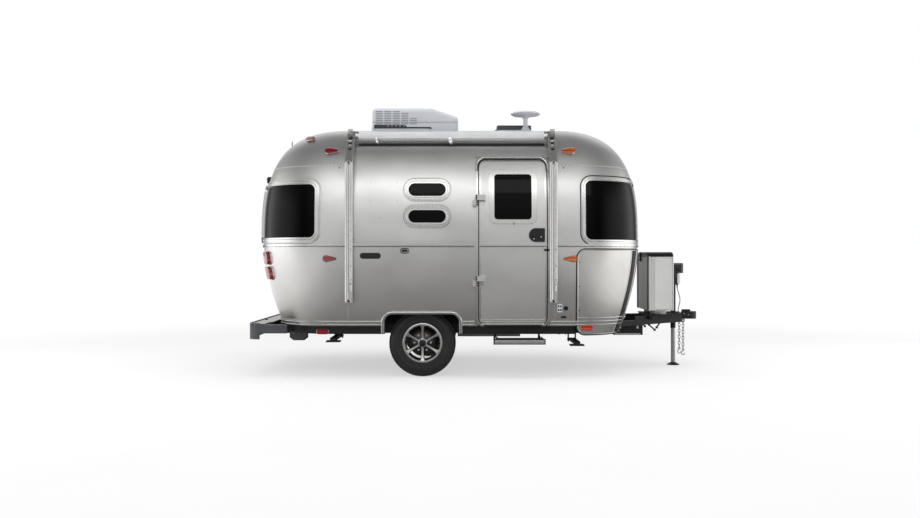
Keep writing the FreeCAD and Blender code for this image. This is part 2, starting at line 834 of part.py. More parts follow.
def tyre_shape():
    """Tyre section spun in flats, so its sidewalls need few faces."""
    lip, s, b = rim_lip_radius + face_gap, tyre_shoulder, tyre_bulge
    middle = (lip + tyre_radius - s) / 2
    bead, far_bead = tyre_bead_inset, tyre_width - tyre_bead_inset
    return spun_y([(lip, bead), (middle, 0), (tyre_radius - s, b), (tyre_radius, s),
                   (tyre_radius, tyre_width - s), (tyre_radius - s, tyre_width - b),
                   (middle, tyre_width), (lip, far_bead), (rim_seat_radius, far_bead),
                   (rim_seat_radius, bead)], tyre_outer_y, 1)


def rim_face_y():
    """Outer face of the rim's lip, which clips over the bead of the tyre."""
    return tyre_outer_y - tyre_bead_inset + rim_wall


def rim_shape():
    y_out = rim_face_y()
    y_in = tyre_outer_y - tyre_width + tyre_bead_inset - rim_wall
    seat, lip, wall = rim_seat_radius, rim_lip_radius, rim_wall
    width = y_out - y_in
    body = spun_y([(seat, wall), (lip, wall), (lip, 0), (seat - wall, 0), (seat - wall, width),
                   (lip, width), (lip, width - wall), (seat, width - wall)], y_out, 1)
    face_y = y_out - rim_dish
    disc = spun_y([(0, 0), (seat - wall / 2, 0), (seat - wall / 2, spoke_disc_thickness),
                   (0, spoke_disc_thickness)], face_y, 1)
    pockets = []
    step = 360 / spoke_count
    half_step = math.radians(step / 2)
    for k in range(spoke_count):
        radii = (hub_face_radius, seat - 2 * wall)
        halves = [r * math.sin(half_step) - spoke_width / 2 * math.cos(half_step) for r in radii]
        corners = [(radii[0], -halves[0]), (radii[1], -halves[1]),
                   (radii[1], halves[1]), (radii[0], halves[0])]
        pocket = prism_y(corners, (face_y + overrun, face_y - spoke_disc_thickness - overrun))
        pocket.rotate(Vector(), Vector(0, 1, 0), 90 + step * (k + 1 / 2))
        pockets.append(pocket)
    disc = disc.cut(pockets)
    half_dish = rim_dish / 2
    cap_top = spun_y([(0, 0), (cap_radius - half_dish, 0), (cap_radius, half_dish), (0, half_dish)],
                     face_y + half_dish, 1)
    bore = spun_y([(0, 0), (hub_radius / 2, 0), (hub_radius / 2, width), (0, width)],
                  face_y - spoke_disc_thickness / 2, 1)
    return fuse([body, disc, cap_top]).cut(bore)


def drum_shape():
    face_y = rim_face_y() - rim_dish - spoke_disc_thickness
    drum = spun_y([(0, 0), (drum_radius - overrun, 0), (drum_radius, overrun),
                   (drum_radius, drum_depth), (0, drum_depth)], face_y, 1)
    nose = spun_y([(0, 0), (hub_radius / 2, 0), (hub_radius / 2, overrun), (0, overrun)],
                  face_y + overrun / 2, 1)
    bore_r = spindle_radius + pin_gap
    bore = spun_y([(0, 0), (bore_r, 0), (bore_r, drum_depth * 2), (0, drum_depth * 2)],
                  face_y - overrun, 1)
    hub = spun_y([(0, 0), (hub_radius, 0), (hub_radius, drum_depth + overrun),
                  (0, drum_depth + overrun)], face_y, 1)
    cavity = spun_y([(hub_radius, drum_depth / 3), (drum_radius - 2 * overrun, drum_depth / 3),
                     (drum_radius - 2 * overrun, drum_depth + overrun),
                     (hub_radius, drum_depth + overrun)], face_y, 1)
    return fuse([drum.cut(cavity), hub]).cut(bore)


def build_wheels():
    for side_name, sign in (("left", 1), ("right", -1)):
        parts["tyre_" + side_name] = placed_wheel(tyre_shape(), sign)
        parts["rim_" + side_name] = placed_wheel(rim_shape(), sign)
        parts["drum_" + side_name] = placed_wheel(drum_shape(), sign)
    face_y = rim_face_y() - rim_dish - spoke_disc_thickness
    arm_y = rail_y + rail_width + arm_thickness / 3
    tube_x, tube_z = wheel_x + arm_reach, tyre_radius + arm_drop
    half = axle_tube_size / 2
    pieces = [box((tube_x - half, tube_x + half), (-arm_y, arm_y), (tube_z - half, tube_z + half))]
    for sign in (-1, 1):
        y = (sign * arm_y, sign * (arm_y + arm_thickness))
        arm = fuse([
            prism_y([(wheel_x, tyre_radius - arm_width / 2), (tube_x, tube_z - arm_width / 2),
                     (tube_x, tube_z + arm_width / 2), (wheel_x, tyre_radius + arm_width / 2)], y),
            rod((wheel_x, y[0], tyre_radius), (wheel_x, y[1], tyre_radius), arm_width / 2),
            rod((tube_x, y[0], tube_z), (tube_x, y[1], tube_z), arm_width / 2)])
        plate = rod((wheel_x, y[1], tyre_radius),
                    (wheel_x, sign * (face_y - drum_depth - 2 * overrun), tyre_radius), hub_radius)
        spindle = rod((wheel_x, y[0], tyre_radius),
                      (wheel_x, sign * (face_y - overrun - face_gap), tyre_radius), spindle_radius)
        pieces += [arm, plate, spindle]
        hanger = box((tube_x - axle_tube_size, tube_x + axle_tube_size),
                     (sign * rail_y, sign * (rail_y + rail_width)), (tube_z + half, rail_bottom))
        pieces.append(hanger)
    parts["axle"] = fuse(pieces)


def at_share(share):
    """Place along the chassis rails."""
    return rail_rear_x + (rail_front_x - rail_rear_x) * share


def skid_corners(sign):
    """Tools that slope both lower corners of a skid plate."""
    third = (skid_front_x - skid_rear_x) / 3
    y = (0, sign * half_width)
    return [prism_y([(x, skid_bottom - overrun), (x + way * third, skid_bottom - overrun),
                     (x, (skid_bottom + rail_bottom) / 2)], y)
            for x, way in ((skid_rear_x - overrun, 1), (skid_front_x + overrun, -1))]


def build_skirt():
    """Dark skirt that hides the chassis under the sides of the body."""
    skirts = []
    x = (skirt_rear_x, skirt_front_x)
    for zone in ("rear", "middle", "front"):
        band = layer(zone, skirt_inset, skirt_inset + skirt_thickness, skirt_bottom)
        low, high = sorted(ZONE_X[zone])
        low, high = max(low, skirt_rear_x), min(high, skirt_front_x)
        for sign in (-1, 1):
            y = (sign * (rail_y + 2 * rail_width), sign * half_width)
            part = band.common(box((low, high), y, (skirt_bottom, floor_z)))
            if zone == "middle":
                part = part.cut(arch_prism(face_gap, skirt_bottom - overrun))
            skirts += part.Solids
    parts["belly_skirt"] = Part.Compound(skirts)


def build_chassis():
    top = floor_z
    pieces, outriggers = [], []
    for sign in (-1, 1):
        rail = box((rail_rear_x, rail_front_x), (sign * rail_y, sign * (rail_y + rail_width)),
                   (rail_bottom, top))
        groove = box((rail_rear_x - overrun, rail_front_x + overrun),
                     (sign * (rail_y + rail_width / 6), sign * (rail_y - overrun)),
                     (rail_bottom + rail_width / 6, top - rail_width / 6))
        pieces.append(rail.cut(groove))
        for share in outrigger_shares:
            x, tip = at_share(share), half_width
            outrigger = prism_x([(sign * (rail_y + rail_width), rail_bottom),
                                 (sign * tip, top - outrigger_tip), (sign * tip, top),
                                 (sign * (rail_y + rail_width), top)],
                                (x - member_width / 8, x + member_width / 8))
            zone = "rear" if x < rear_seam_x else "middle" if x < front_seam_x else "front"
            inside = hull(zone, skirt_inset + 2 * skirt_thickness, rail_bottom)
            outriggers += outrigger.common(inside).Solids
        skid = pad_y((skid_rear_x, skid_front_x), (skid_bottom, rail_bottom + skid_thickness),
                     (sign * (rail_y + rail_width - skid_thickness), sign * (rail_y + rail_width)),
                     skid_thickness)
        pieces.append(skid.cut(skid_corners(sign)))
    for share in member_xs_shares:
        x = at_share(share)
        pieces.append(box((x, x + member_width), (-rail_y - rail_width / 3, rail_y + rail_width / 3),
                          (top - member_height, top)))
    for end, x in leg_xs.items():
        pieces.append(box((x - leg_width, x + leg_width),
                          (-rail_y - rail_width / 2, rail_y + rail_width / 2),
                          (rail_bottom, rail_bottom + member_width)))
        near = leg_width / 2 + leg_side_gap
        for sign in (-1, 1):
            for way in (-1, 1):
                pieces.append(box((x + way * near, x + way * (near + leg_lug_thickness)),
                                  (sign * (leg_pivot_y - leg_height),
                                   sign * (leg_pivot_y + leg_height)),
                                  (leg_pivot_zs[end] - leg_height / 2 - leg_lug_thickness,
                                   rail_bottom)))
    mount = []
    for x in (step_left + 2 * step_plate, step_right - 2 * step_plate):
        way = 1 if x < (step_left + step_right) / 2 else -1
        near = x + way * step_hanger_plane
        mount.append(box((near, near + way * step_plate),
                         (-rail_y - rail_width, step_pivot_y - step_link_spacing - step_link_width),
                         (step_pivot_z - step_link_width, top)))
    bar_edge = step_pivot_y - step_link_spacing - step_link_width + step_plate
    bar = box((step_left + 5 * step_plate, step_right - 5 * step_plate),
              (bar_edge - 2 * step_link_width - step_plate, bar_edge), (step_bar_bottom, step_bar_top))
    mount = fuse(mount + [bar])
    slot = box((step_left, step_right),
               (bar_edge - 2 * step_link_width - step_plate - face_gap, bar_edge + face_gap),
               (rail_bottom - overrun, step_bar_top + face_gap))
    parts["outriggers"] = Part.Compound([piece.cut(slot) for piece in outriggers])
    frame = fuse(pieces)
    bores = []
    for end, x in leg_xs.items():
        for sign in (-1, 1):
            pivot_z = leg_pivot_zs[end]
            bores.append(rod((x - 2 * leg_width, sign * leg_pivot_y, pivot_z),
                             (x + 2 * leg_width, sign * leg_pivot_y, pivot_z),
                             leg_pin_radius + pin_gap))
    parts["chassis_frame"] = frame.cut(bores)
    parts["step_mount"] = mount.cut([
        rod((step_left, y, step_pivot_z), (step_right, y, step_pivot_z), step_pin_radius + pin_gap)
        for y in (step_pivot_y, step_pivot_y - step_link_spacing)])


def build_step():
    left, right = step_left + 2 * step_plate, step_right - 2 * step_plate
    out_y, drop_z = step_pivot_y - step_link_out, step_pivot_z - step_link_drop
    for name, shift, plane, hanger_side in (
            ("step_lead_links", 0, step_lead_plane, 1),
            ("step_follower_links", -step_link_spacing, step_follower_plane, -1)):
        y0, y1 = step_pivot_y + shift, out_y + shift
        links = []
        for x, way in ((left, 1), (right, -1)):
            x_pair = (x + way * plane, x + way * (plane + step_plate))
            to_hanger, to_cheek = x_pair[::-1] if hanger_side > 0 else x_pair
            inward = way * hanger_side
            direction = Vector(0, y1 - y0, drop_z - step_pivot_z).normalize()
            normal = Vector(0, -direction.z, direction.y) * (step_link_width / 2)
            corners = [(y0 + normal.y, step_pivot_z + normal.z), (y1 + normal.y, drop_z + normal.z),
                       (y1 - normal.y, drop_z - normal.z), (y0 - normal.y, step_pivot_z - normal.z)]
            bar = fuse([prism_x(corners, x_pair),
                        rod((min(x_pair), y0, step_pivot_z), (max(x_pair), y0, step_pivot_z),
                            step_link_width / 2),
                        rod((min(x_pair), y1, drop_z), (max(x_pair), y1, drop_z),
                            step_link_width / 2)])
            upper = rod((to_hanger, y0, step_pivot_z),
                        (to_hanger + inward * step_plate, y0, step_pivot_z), step_pin_radius)
            lower = rod((to_cheek, y1, drop_z), (to_cheek - inward * 2 * step_plate, y1, drop_z),
                        step_pin_radius)
            links.append(fuse([bar, upper, lower]))
        parts[name] = Part.Compound(links)
    cheeks, bores = [], []
    for x, way in ((left, 1), (right, -1)):
        for near in (x, x + way * step_inner_cheek):
            cheeks.append(box((near, near + way * step_plate),
                              (step_tread_outer_y, out_y + step_link_width),
                              (step_tread_bottom, step_tread_top)))
    for y in (out_y, out_y - step_link_spacing):
        bores.append(rod((step_left - overrun, y, drop_z), (step_right + overrun, y, drop_z),
                         step_pin_radius + pin_gap))
    beside = step_inner_cheek
    plates = [box((left + beside, right - beside), (step_tread_outer_y, step_tread_inner_y),
                  (step_tread_top - step_plate, step_tread_top)),
              box((step_left, step_right), (step_tread_outer_y, step_tread_outer_y + step_lip),
                  (step_tread_top - step_plate, step_tread_top))]
    nose = box((step_left, step_right), (step_tread_outer_y, step_tread_outer_y + step_plate),
               (step_tread_bottom, step_tread_top))
    ribs = [box((left + beside, right - beside), (y - step_plate / 2, y + step_plate / 2),
                (step_tread_top - 2 * step_plate, step_tread_top + step_plate / 3))
            for y in (step_tread_outer_y + step_lip, step_tread_outer_y + 2 * step_lip)]
    parts["step_tread"] = fuse(cheeks + plates + [nose] + ribs).cut(bores)


def build_legs():
    for end, x in leg_xs.items():
        z, half = leg_pivot_zs[end], leg_height / 2
        y0, y1 = leg_pivot_y, leg_pivot_y + leg_length
        beam = box((x - leg_width / 2, x + leg_width / 2), (y0, y1), (z - half, z + half))
        eye = rod((x - leg_width / 2, y0, z), (x + leg_width / 2, y0, z), half)
        reach = leg_width / 2 + leg_side_gap + 2 * leg_lug_thickness
        pin = rod((x - reach, y0, z), (x + reach, y0, z), leg_pin_radius)
        foot = box((x - leg_foot_width / 2, x + leg_foot_width / 2), (y1 - leg_foot_length, y1),
                   (z - half - leg_foot_thickness, z - half))
        leg = fuse([beam, eye, pin, foot])
        parts["stabilizer_%s_left" % end] = leg
        parts["stabilizer_%s_right" % end] = mirrored(leg)


def drawbar_plan(sign):
    """Plan of one arm of the drawbar, as a prism through all heights."""
    half = tongue_width / 2
    return prism_z([(tongue_rear_x, sign * (tongue_rear_y - half)),
                    (tongue_front_x, sign * (tongue_front_y - half)),
                    (tongue_front_x, sign * (tongue_front_y + half)),
                    (tongue_rear_x, sign * (tongue_rear_y + half))], (0, roof_z))


def build_tongue():
    low_top = floor_z - weld_joint
    side_view = prism_y([(tongue_rear_x, low_top - tongue_height),
                         (tongue_front_x, floor_z - tongue_height + tongue_rise),
                         (tongue_front_x, floor_z + tongue_rise), (tongue_rear_x, low_top)], ALL_Y)
    arms = [side_view.common(drawbar_plan(sign)) for sign in (-1, 1)]
    tray_bottom = tray_z - tray_thickness
    tray = pad_z((cover_rear_x, cover_front_x), (-cover_half, cover_half),
                 (tray_bottom, tray_z), tray_thickness * 2)
    risers = [box((cover_rear_x + member_width / 4, cover_rear_x + member_width),
                  (-2 * bottle_y, 2 * bottle_y), (tray_z - tongue_width, tray_bottom)),
              box((cover_front_x - member_width, cover_front_x - member_width / 4),
                  (-bottle_y, bottle_y), (tray_z - tongue_width / 2, tray_bottom))]
    top_z = floor_z + tongue_rise
    bridge = box((jack_x - 1.2 * jack_flange_radius, jack_x + jack_flange_radius),
                 (-tongue_front_y - tongue_width, tongue_front_y + tongue_width),
                 (top_z - tray_thickness, top_z + tray_thickness))
    hole = rod((jack_x, 0, 0), (jack_x, 0, roof_z), jack_tube_radius)
    middle_x = (cover_rear_x + cover_front_x) / 2
    post = rod((middle_x, 0, tray_z), (middle_x, 0, cover_top - cover_wall), bottle_post_radius)
    lugs, eyes = [], []
    for sign in (-1, 1):
        y = (sign * (chain_y - chain_lug_thickness / 2), sign * (chain_y + chain_lug_thickness / 2))
        lugs.append(box((tongue_front_x - overrun, chain_x + chain_lug_radius), y,
                        (chain_top_z - chain_lug_radius, chain_top_z + chain_lug_radius)))
        eyes.append(rod((chain_x, y[0], chain_top_z), (chain_x, y[1], chain_top_z),
                        chain_lug_hole))
    frame = fuse(arms + [tray, bridge, post] + risers + lugs)
    body_clear = box((FAR_REAR, front_seam_x + front_cap_depth), ALL_Y, (floor_z, belt_z))
    parts["a_frame"] = frame.cut([body_clear, hole] + eyes)
    parts["chassis_frame"] = parts["chassis_frame"].cut(parts["a_frame"])
    body = prism_y([(tray_box_rear_x, tray_box_top),
                    (tray_box_rear_x + tray_box_slope / 2, tray_box_bottom + tray_box_slope),
                    (tray_box_rear_x + tray_box_slope, tray_box_bottom),
                    (tray_box_front_x, tray_box_bottom), (tray_box_front_x, tray_box_top)],
                   (-tray_box_half, tray_box_half))
    straps = [box((x, x + tray_strap_width), (-tray_strap_half, tray_strap_half),
                  (tray_box_top - tray_thickness, tray_box_top + tray_thickness))
              for x in (tray_box_rear_x + tray_box_slope,
                        tray_box_front_x - 2 * tray_strap_width)]
    inside = prism_z([(tongue_rear_x, -tongue_rear_y), (tongue_front_x, -tongue_front_y),
                      (tongue_front_x, tongue_front_y), (tongue_rear_x, tongue_rear_y)],
                     (0, roof_z))
    straps = [strap.common(inside) for strap in straps]
    parts["drawbar_box"] = fuse([body] + straps).cut(parts["a_frame"])


def build_coupler():
    z0, z1 = coupler_bottom, coupler_top
    x0 = jack_x + jack_flange_radius
    top_z = floor_z + tongue_rise + tray_thickness
    neck = prism_y([(x0, z0), (ball_x, z0), (ball_x, ball_z + ball_radius + 2 * coupler_wall),
                    (x0, top_z - coupler_wall)], (-coupler_half, coupler_half))
    nose = Part.makeCylinder(coupler_tip_x - ball_x, z1 - z0 - coupler_wall * 3, Vector(ball_x, 0, z0))
    latch = prism_y([(x0 + 2 * coupler_wall, top_z - coupler_wall), (ball_x, z1 - coupler_wall * 2),
                     (ball_x - coupler_wall, z1), (x0 + 4 * coupler_wall, z1)],
                    (-coupler_wall * 2, coupler_wall * 2))
    socket = Part.makeSphere(ball_radius + ball_gap, Vector(ball_x, 0, ball_z))
    mouth = rod((ball_x, 0, z0 - overrun), (ball_x, 0, ball_z), ball_radius + ball_gap)
    rails = [drawbar_plan(sign) for sign in (-1, 1)]
    parts["coupler"] = fuse([neck, nose, latch]).cut([socket, mouth] + rails)


def build_jack():
    top = jack_head_bottom
    outer = rod((jack_x, 0, jack_tube_bottom), (jack_x, 0, top), jack_tube_radius)
    seat_z = floor_z + tongue_rise + tray_thickness
    flange = rod((jack_x, 0, seat_z), (jack_x, 0, seat_z + jack_flange_thickness), jack_flange_radius)
    lower = pad_z((jack_x - jack_head_half, jack_x + jack_head_half), (-jack_head_half, jack_head_half),
                  (jack_head_bottom, jack_head_waist), jack_head_half / 2)
    upper = pad_z((jack_x - jack_head_half, jack_x + jack_head_reach), (-jack_head_half, jack_head_half),
                  (jack_head_waist, jack_head_top), jack_head_half / 2)
    bore = rod((jack_x, 0, 0), (jack_x, 0, jack_leg_top + jack_stroke),
               jack_tube_radius - jack_tube_wall)
    rims = [e for e in fuse([lower, upper]).Edges if e.BoundBox.ZMin > jack_head_top - weld_joint]
    head = fuse([lower, upper]).makeFillet(jack_head_half / 3, rims)
    parts["jack_column"] = fuse([outer, flange, head]).cut(bore)
    leg = rod((jack_x, 0, 0), (jack_x, 0, jack_leg_top), jack_tube_radius - jack_tube_wall - pin_gap)
    foot = Part.makeCone(jack_foot_radius, jack_tube_radius, 2 * jack_foot_height,
                         Vector(jack_x, 0, jack_foot_height / 2))
    sole = rod((jack_x, 0, 0), (jack_x, 0, jack_foot_height / 2), jack_foot_radius)
    parts["jack_leg"] = fuse([leg, foot, sole])


def build_gas():
    x = (cover_rear_x, cover_front_x)
    outer = pad_x((-cover_half, cover_half), (cover_bottom - cover_radius, cover_top), x, cover_radius)
    inner = pad_x((-cover_half + cover_wall, cover_half - cover_wall),
                  (cover_bottom - cover_radius, cover_top - cover_wall),
                  (x[0] + cover_wall, x[1] - cover_wall), cover_radius - cover_wall)
    floor_cut = box((x[0] - overrun, x[1] + overrun), ALL_Y, (0, cover_bottom))
    wide = (x[0] - cover_lid_lap, x[1] + cover_lid_lap)
    above = box((wide[0] - overrun, wide[1] + overrun), ALL_Y, (cover_lid_bottom, roof_z))
    can = outer.cut([inner, floor_cut])
    ribs = []
    for sign in (-1, 1):
        for k in range(cover_rib_count):
            rib_x = x[0] + cover_rib_pitch * (k + 1 / 2)
            ribs.append(pad_y((rib_x, rib_x + cover_rib_pitch / 2), (cover_bottom, cover_lid_bottom),
                              (sign * (cover_half - cover_wall / 2),
                               sign * (cover_half + cover_rib_proud)), cover_rib_pitch / 4))
    parts["gas_cover"] = fuse([can.cut(above)] + ribs)
    lid = pad_x((-cover_half - cover_lid_lap, cover_half + cover_lid_lap),
                (cover_bottom - cover_radius, cover_top), wide, cover_radius + cover_lid_lap)
    parts["gas_cover_lid"] = lid.cut(inner).common(above)
    bottles = []
    mid_x = (x[0] + x[1]) / 2
    for sign in (-1, 1):
        r, ring = bottle_radius, bottle_ring_height
        points = [(0, ring / 2), (r / 2, ring / 2), (r / 2, 0), (r * 2 / 3, 0), (r * 3 / 4, ring),
                  (r, ring + bottle_shoulder / 2), (r, bottle_top - tray_z - bottle_shoulder),
                  (r / 3, bottle_top - tray_z - ring), (r / 3, bottle_top - tray_z),
                  (0, bottle_top - tray_z)]
        bottle = spun_z(points)
        bottle.translate(Vector(mid_x, sign * bottle_y, tray_z))
        bottles.append(bottle)
    parts["gas_bottles"] = Part.Compound(bottles)


def build_bumper():
    outer = pad_z((bumper_x, bumper_arm_x + bumper_radius), (-bumper_half, bumper_half),
                  (bumper_arm_bottom, bumper_arm_top), bumper_radius)
    inner = pad_z((bumper_x + bumper_arm_width, bumper_arm_x + 2 * bumper_radius),
                  (-bumper_half + bumper_arm_width, bumper_half - bumper_arm_width),
                  (bumper_arm_bottom - overrun, bumper_arm_top + overrun), bumper_radius - bumper_arm_width)
    front_cut = box((bumper_arm_x, FAR_FRONT), ALL_Y, (0, roof_z))
    arms = outer.cut([inner, front_cut])
    bar = pad_z((bumper_x, bumper_x + 4 * bumper_depth), (-bumper_half, bumper_half),
                (bumper_bottom, bumper_top), bumper_radius)
    bar_inner = pad_z((bumper_x + bumper_arm_width / 3, bumper_x + 5 * bumper_depth),
                      (-bumper_half + bumper_arm_width / 3, bumper_half - bumper_arm_width / 3),
                      (bumper_bottom - overrun, bumper_top + overrun), bumper_radius - bumper_arm_width / 3)
    bar = bar.cut([bar_inner, box((bumper_x + 2 * bumper_depth, FAR_FRONT), ALL_Y, (0, roof_z))])
    inner_x, tray_half = bumper_x + bumper_arm_width / 2, lid_half + 5 * lid_gap
    tray = box((inner_x, tray_front_x), (-tray_half, tray_half),
               (bumper_arm_bottom, bumper_arm_top))
    room = box((bumper_x + bumper_arm_width, tray_front_x - lid_thickness),
               (-lid_half, lid_half), (bumper_arm_bottom + lid_thickness, bumper_arm_top + overrun))
    rear_member = box((tray_front_x - lid_thickness, rail_rear_x),
                      (-rail_y - rail_width, rail_y + rail_width),
                      (bumper_arm_bottom, bumper_arm_bottom + bumper_arm_width))
    deck = [box((inner_x, tray_front_x),
                (sign * (lid_half + lid_gap), sign * (bumper_half - bumper_arm_width / 2)),
                (bumper_arm_top, bumper_arm_top + lid_thickness)) for sign in (-1, 1)]
    pin_z = bumper_arm_top + lid_thickness / 2
    pin_x = tray_front_x + 2 * lid_pin_radius
    eyes = []
    for sign in (-1, 1):
        y = (sign * (lid_half + lid_gap), sign * (lid_half + 5 * lid_gap))
        eyes.append(rod((pin_x, y[0], pin_z), (pin_x, y[1], pin_z), 2 * lid_pin_radius))
        eyes.append(box((tray_front_x - lid_thickness, pin_x), y,
                        (pin_z - 4 * lid_pin_radius, pin_z)))
    bore = rod((pin_x, -bumper_half, pin_z), (pin_x, bumper_half, pin_z),
               lid_pin_radius + pin_gap)
    parts["bumper"] = fuse([arms, bar, tray, rear_member] + deck + eyes).cut([room, bore])
    lid = box((inner_x + lid_gap, pin_x), (-lid_half, lid_half),
              (bumper_arm_top + face_gap, bumper_arm_top + lid_thickness))
    pin_half = lid_half + 4 * lid_gap
    pins = rod((pin_x, -pin_half, pin_z), (pin_x, pin_half, pin_z), lid_pin_radius)
    parts["bumper_lid"] = fuse([lid, pins])


def louvres():
    """Slots in both sides of the air conditioner, fewer to a row on the way down the slope."""
    slots = []
    for sign in (-1, 1):
        y = (sign * (ac_half - louvre_depth), sign * (ac_half + overrun))
        for row in range(louvre_rows):
            z = louvre_top - louvre_pitch_z * row
            for column in range(louvre_columns):
                if column >= louvre_columns - 2 + row / 3:
                    continue
                x = louvre_first_x + louvre_pitch_x * column
                slots.append(box((x, x + louvre_length), y, (z - louvre_height, z)))
    return slots


def build_roof_gear():
    roof_cut = hull("middle", 0)
    body = prism_y([(ac_rear_x, roof_z - ac_radius * 2), (ac_rear_x, ac_top), (ac_slope_x, ac_top),
                    (ac_front_x, ac_front_z), (ac_front_x, roof_z - ac_radius * 2)], (-ac_half, ac_half))
    ridge = [e for e in body.Edges if e.BoundBox.ZMin > ac_front_z - weld_joint or
             (e.BoundBox.ZLength > ac_radius and e.BoundBox.XLength < weld_joint)]
    body = body.makeFillet(ac_radius, ridge)
    skirt = pad_z((ac_rear_x - ac_skirt_proud, ac_skirt_front_x),
                  (-ac_half - ac_skirt_proud, ac_half + ac_skirt_proud),
                  (roof_z - 2 * ac_radius, ac_skirt_top), ac_radius + ac_skirt_proud)
    parts["ac_unit"] = fuse([body, skirt]).cut(louvres() + [roof_cut])
    half = (vent_front_x - vent_rear_x) / 2
    base = pad_z((vent_rear_x, vent_front_x), (-half, half),
                 (roof_z - vent_wall * 2, vent_base_top), vent_wall)
    hole = box((vent_rear_x + vent_wall, vent_front_x - vent_wall),
               (vent_wall - half, half - vent_wall), (0, ac_top))
    base = base.cut([hole, roof_cut])
    stem, neck, disc_h = antenna_stem_radius, antenna_neck_radius, antenna_top - antenna_bottom
    flare = (antenna_bottom - roof_z) / 3
    disc = spun_z([(0, roof_z - 2 * stem), (stem, roof_z - 2 * stem), (stem, roof_z - stem / 4),
                   ((stem + neck) / 2, roof_z), (neck, roof_z + flare),
                   (neck, antenna_bottom - flare / 2), (stem * 2 / 3, antenna_bottom),
                   (antenna_radius * 0.9, antenna_bottom + disc_h / 4),
                   (antenna_radius, antenna_bottom + disc_h / 2),
                   (antenna_radius * 0.85, antenna_top - disc_h / 5),
                   (antenna_radius * 0.45, antenna_top - disc_h / 20), (0, antenna_top)])
    disc.translate(Vector(antenna_x, antenna_y, 0))
    lugs = []
    pin_x, pin_z = vent_rear_x - 3 * vent_pin_radius, vent_base_top
    for sign in (-1, 1):
        y = (sign * half / 2, sign * (half / 2 + 3 * vent_pin_radius))
        web = box((pin_x - vent_pin_radius, vent_rear_x + overrun), y,
                  (vent_base_top - 6 * vent_pin_radius, vent_base_top))
        eye = rod((pin_x, y[0], pin_z), (pin_x, y[1], pin_z), 1.8 * vent_pin_radius)
        lugs.append(fuse([web, eye]).cut(rod((pin_x, -half, pin_z), (pin_x, half, pin_z),
                                             vent_pin_radius + pin_gap)))
    parts["roof_fittings"] = Part.Compound([fuse([base] + lugs).Solids[0], disc.cut(roof_cut)])
    lid = pad_z((vent_rear_x, vent_front_x), (-half, half),
                (vent_base_top + vent_gap, vent_lid_top), vent_wall)
    room = pad_z((vent_rear_x + vent_lid_wall, vent_front_x - vent_lid_wall),
                 (-half + vent_lid_wall, half - vent_lid_wall),
                 (vent_base_top - overrun, vent_lid_top - vent_lid_wall), vent_wall - vent_lid_wall)
    tabs = []
    for sign in (-1, 1):
        y = (sign * (half / 2 - vent_gap), sign * (half / 2 - 3 * vent_pin_radius))
        tab = box((pin_x - vent_pin_radius, vent_rear_x + vent_lid_wall), y,
                  (vent_base_top + vent_gap, vent_base_top + 3 * vent_pin_radius))
        eye = rod((pin_x, y[0], pin_z), (pin_x, y[1], pin_z), 2 * vent_pin_radius)
        pin = rod((pin_x, y[1], pin_z), (pin_x, sign * (half / 2 + 2 * vent_pin_radius), pin_z),
                  vent_pin_radius)
        tabs += [fuse([tab, eye]).cut(room), pin]
    parts["vent_lid"] = fuse([lid.cut(room)] + tabs)


def build_awning():
    parts["awning_roll"] = rod((max(arm_rear_x), awning_y, awning_z),
                               (min(arm_front_x), awning_y, awning_z), awning_radius)
    arms = []
    for x in (arm_rear_x, arm_front_x):
        y0, y1 = awning_arm_y, awning_arm_y + awning_arm_depth
        post = box(x, (y0, y1), (awning_arm_bottom, awning_arm_top))
        foot = box((x[0] + awning_foot_inset, x[1] - awning_foot_inset), (y0, 0),
                   (awning_arm_bottom, awning_arm_bottom + awning_foot_height))
        reach = prism_x([(y0, awning_arm_top), (awning_y - awning_radius, awning_z),
                         (awning_y, awning_z + awning_radius), (awning_y + awning_radius, awning_z),
                         (awning_y, awning_z - awning_radius), (y1, awning_arm_top - awning_arm_depth)], x)
        bracket = prism_x([(awning_y, awning_z), (awning_y + awning_radius, awning_z),
                           (0, awning_z), (0, awning_arm_top), (awning_y, awning_z - awning_radius)], x)
        arm = fuse([post, foot, reach, bracket])
        middle = (x[0] + x[1]) / 2
        groove = box((middle - awning_groove / 2, middle + awning_groove / 2),
                     (y0 - overrun, y0 + awning_arm_depth / 2),
                     (awning_arm_bottom + awning_foot_height, awning_arm_top))
        arms.append(arm.cut([section(-face_gap, (x[0] - overrun, x[1] + overrun)), groove]))
    parts["awning_arms"] = Part.Compound([max(a.Solids, key=lambda s: s.Volume) for a in arms])


def build_guards():
    z = (guard_bottom, guard_top)
    skin = layer("front", -guard_proud, -guard_gap, guard_bottom)
    reach = hull("front", -guard_proud / 2, guard_bottom)
    body = hull("front", -face_gap / 2)
    guards = []
    for sign in (-1, 1):
        y = (sign * guard_front_y, sign * (half_width + 20 * overrun))
        shape = skin.common(pad_y((guard_side_x, FAR_FRONT + guard_radius), z, ALL_Y, guard_radius))
        sheet = shape.common(box((guard_side_x, FAR_FRONT), y, (0, roof_z)))
        studs = [rod((x, y[0], spot_z), (x, y[1], spot_z), guard_stud_radius).common(reach).cut(body)
                 for x, spot_z in guard_stud_spots]
        guards += fuse([sheet] + studs).Solids
    parts["stone_guards"] = Part.Compound(guards)


def build_tank():
    bottom = rail_bottom - member_width
    points = [(-rail_y + member_width, floor_z - member_height), (-rail_y + 2 * member_width, bottom),
              (rail_y - 2 * member_width, bottom), (rail_y - member_width, floor_z - member_height)]
    rear_x, front_x = (at_share(member_xs_shares[k]) for k in (3, 4))
    parts["tank"] = prism_x(points, (rear_x - member_width * 2, front_x))


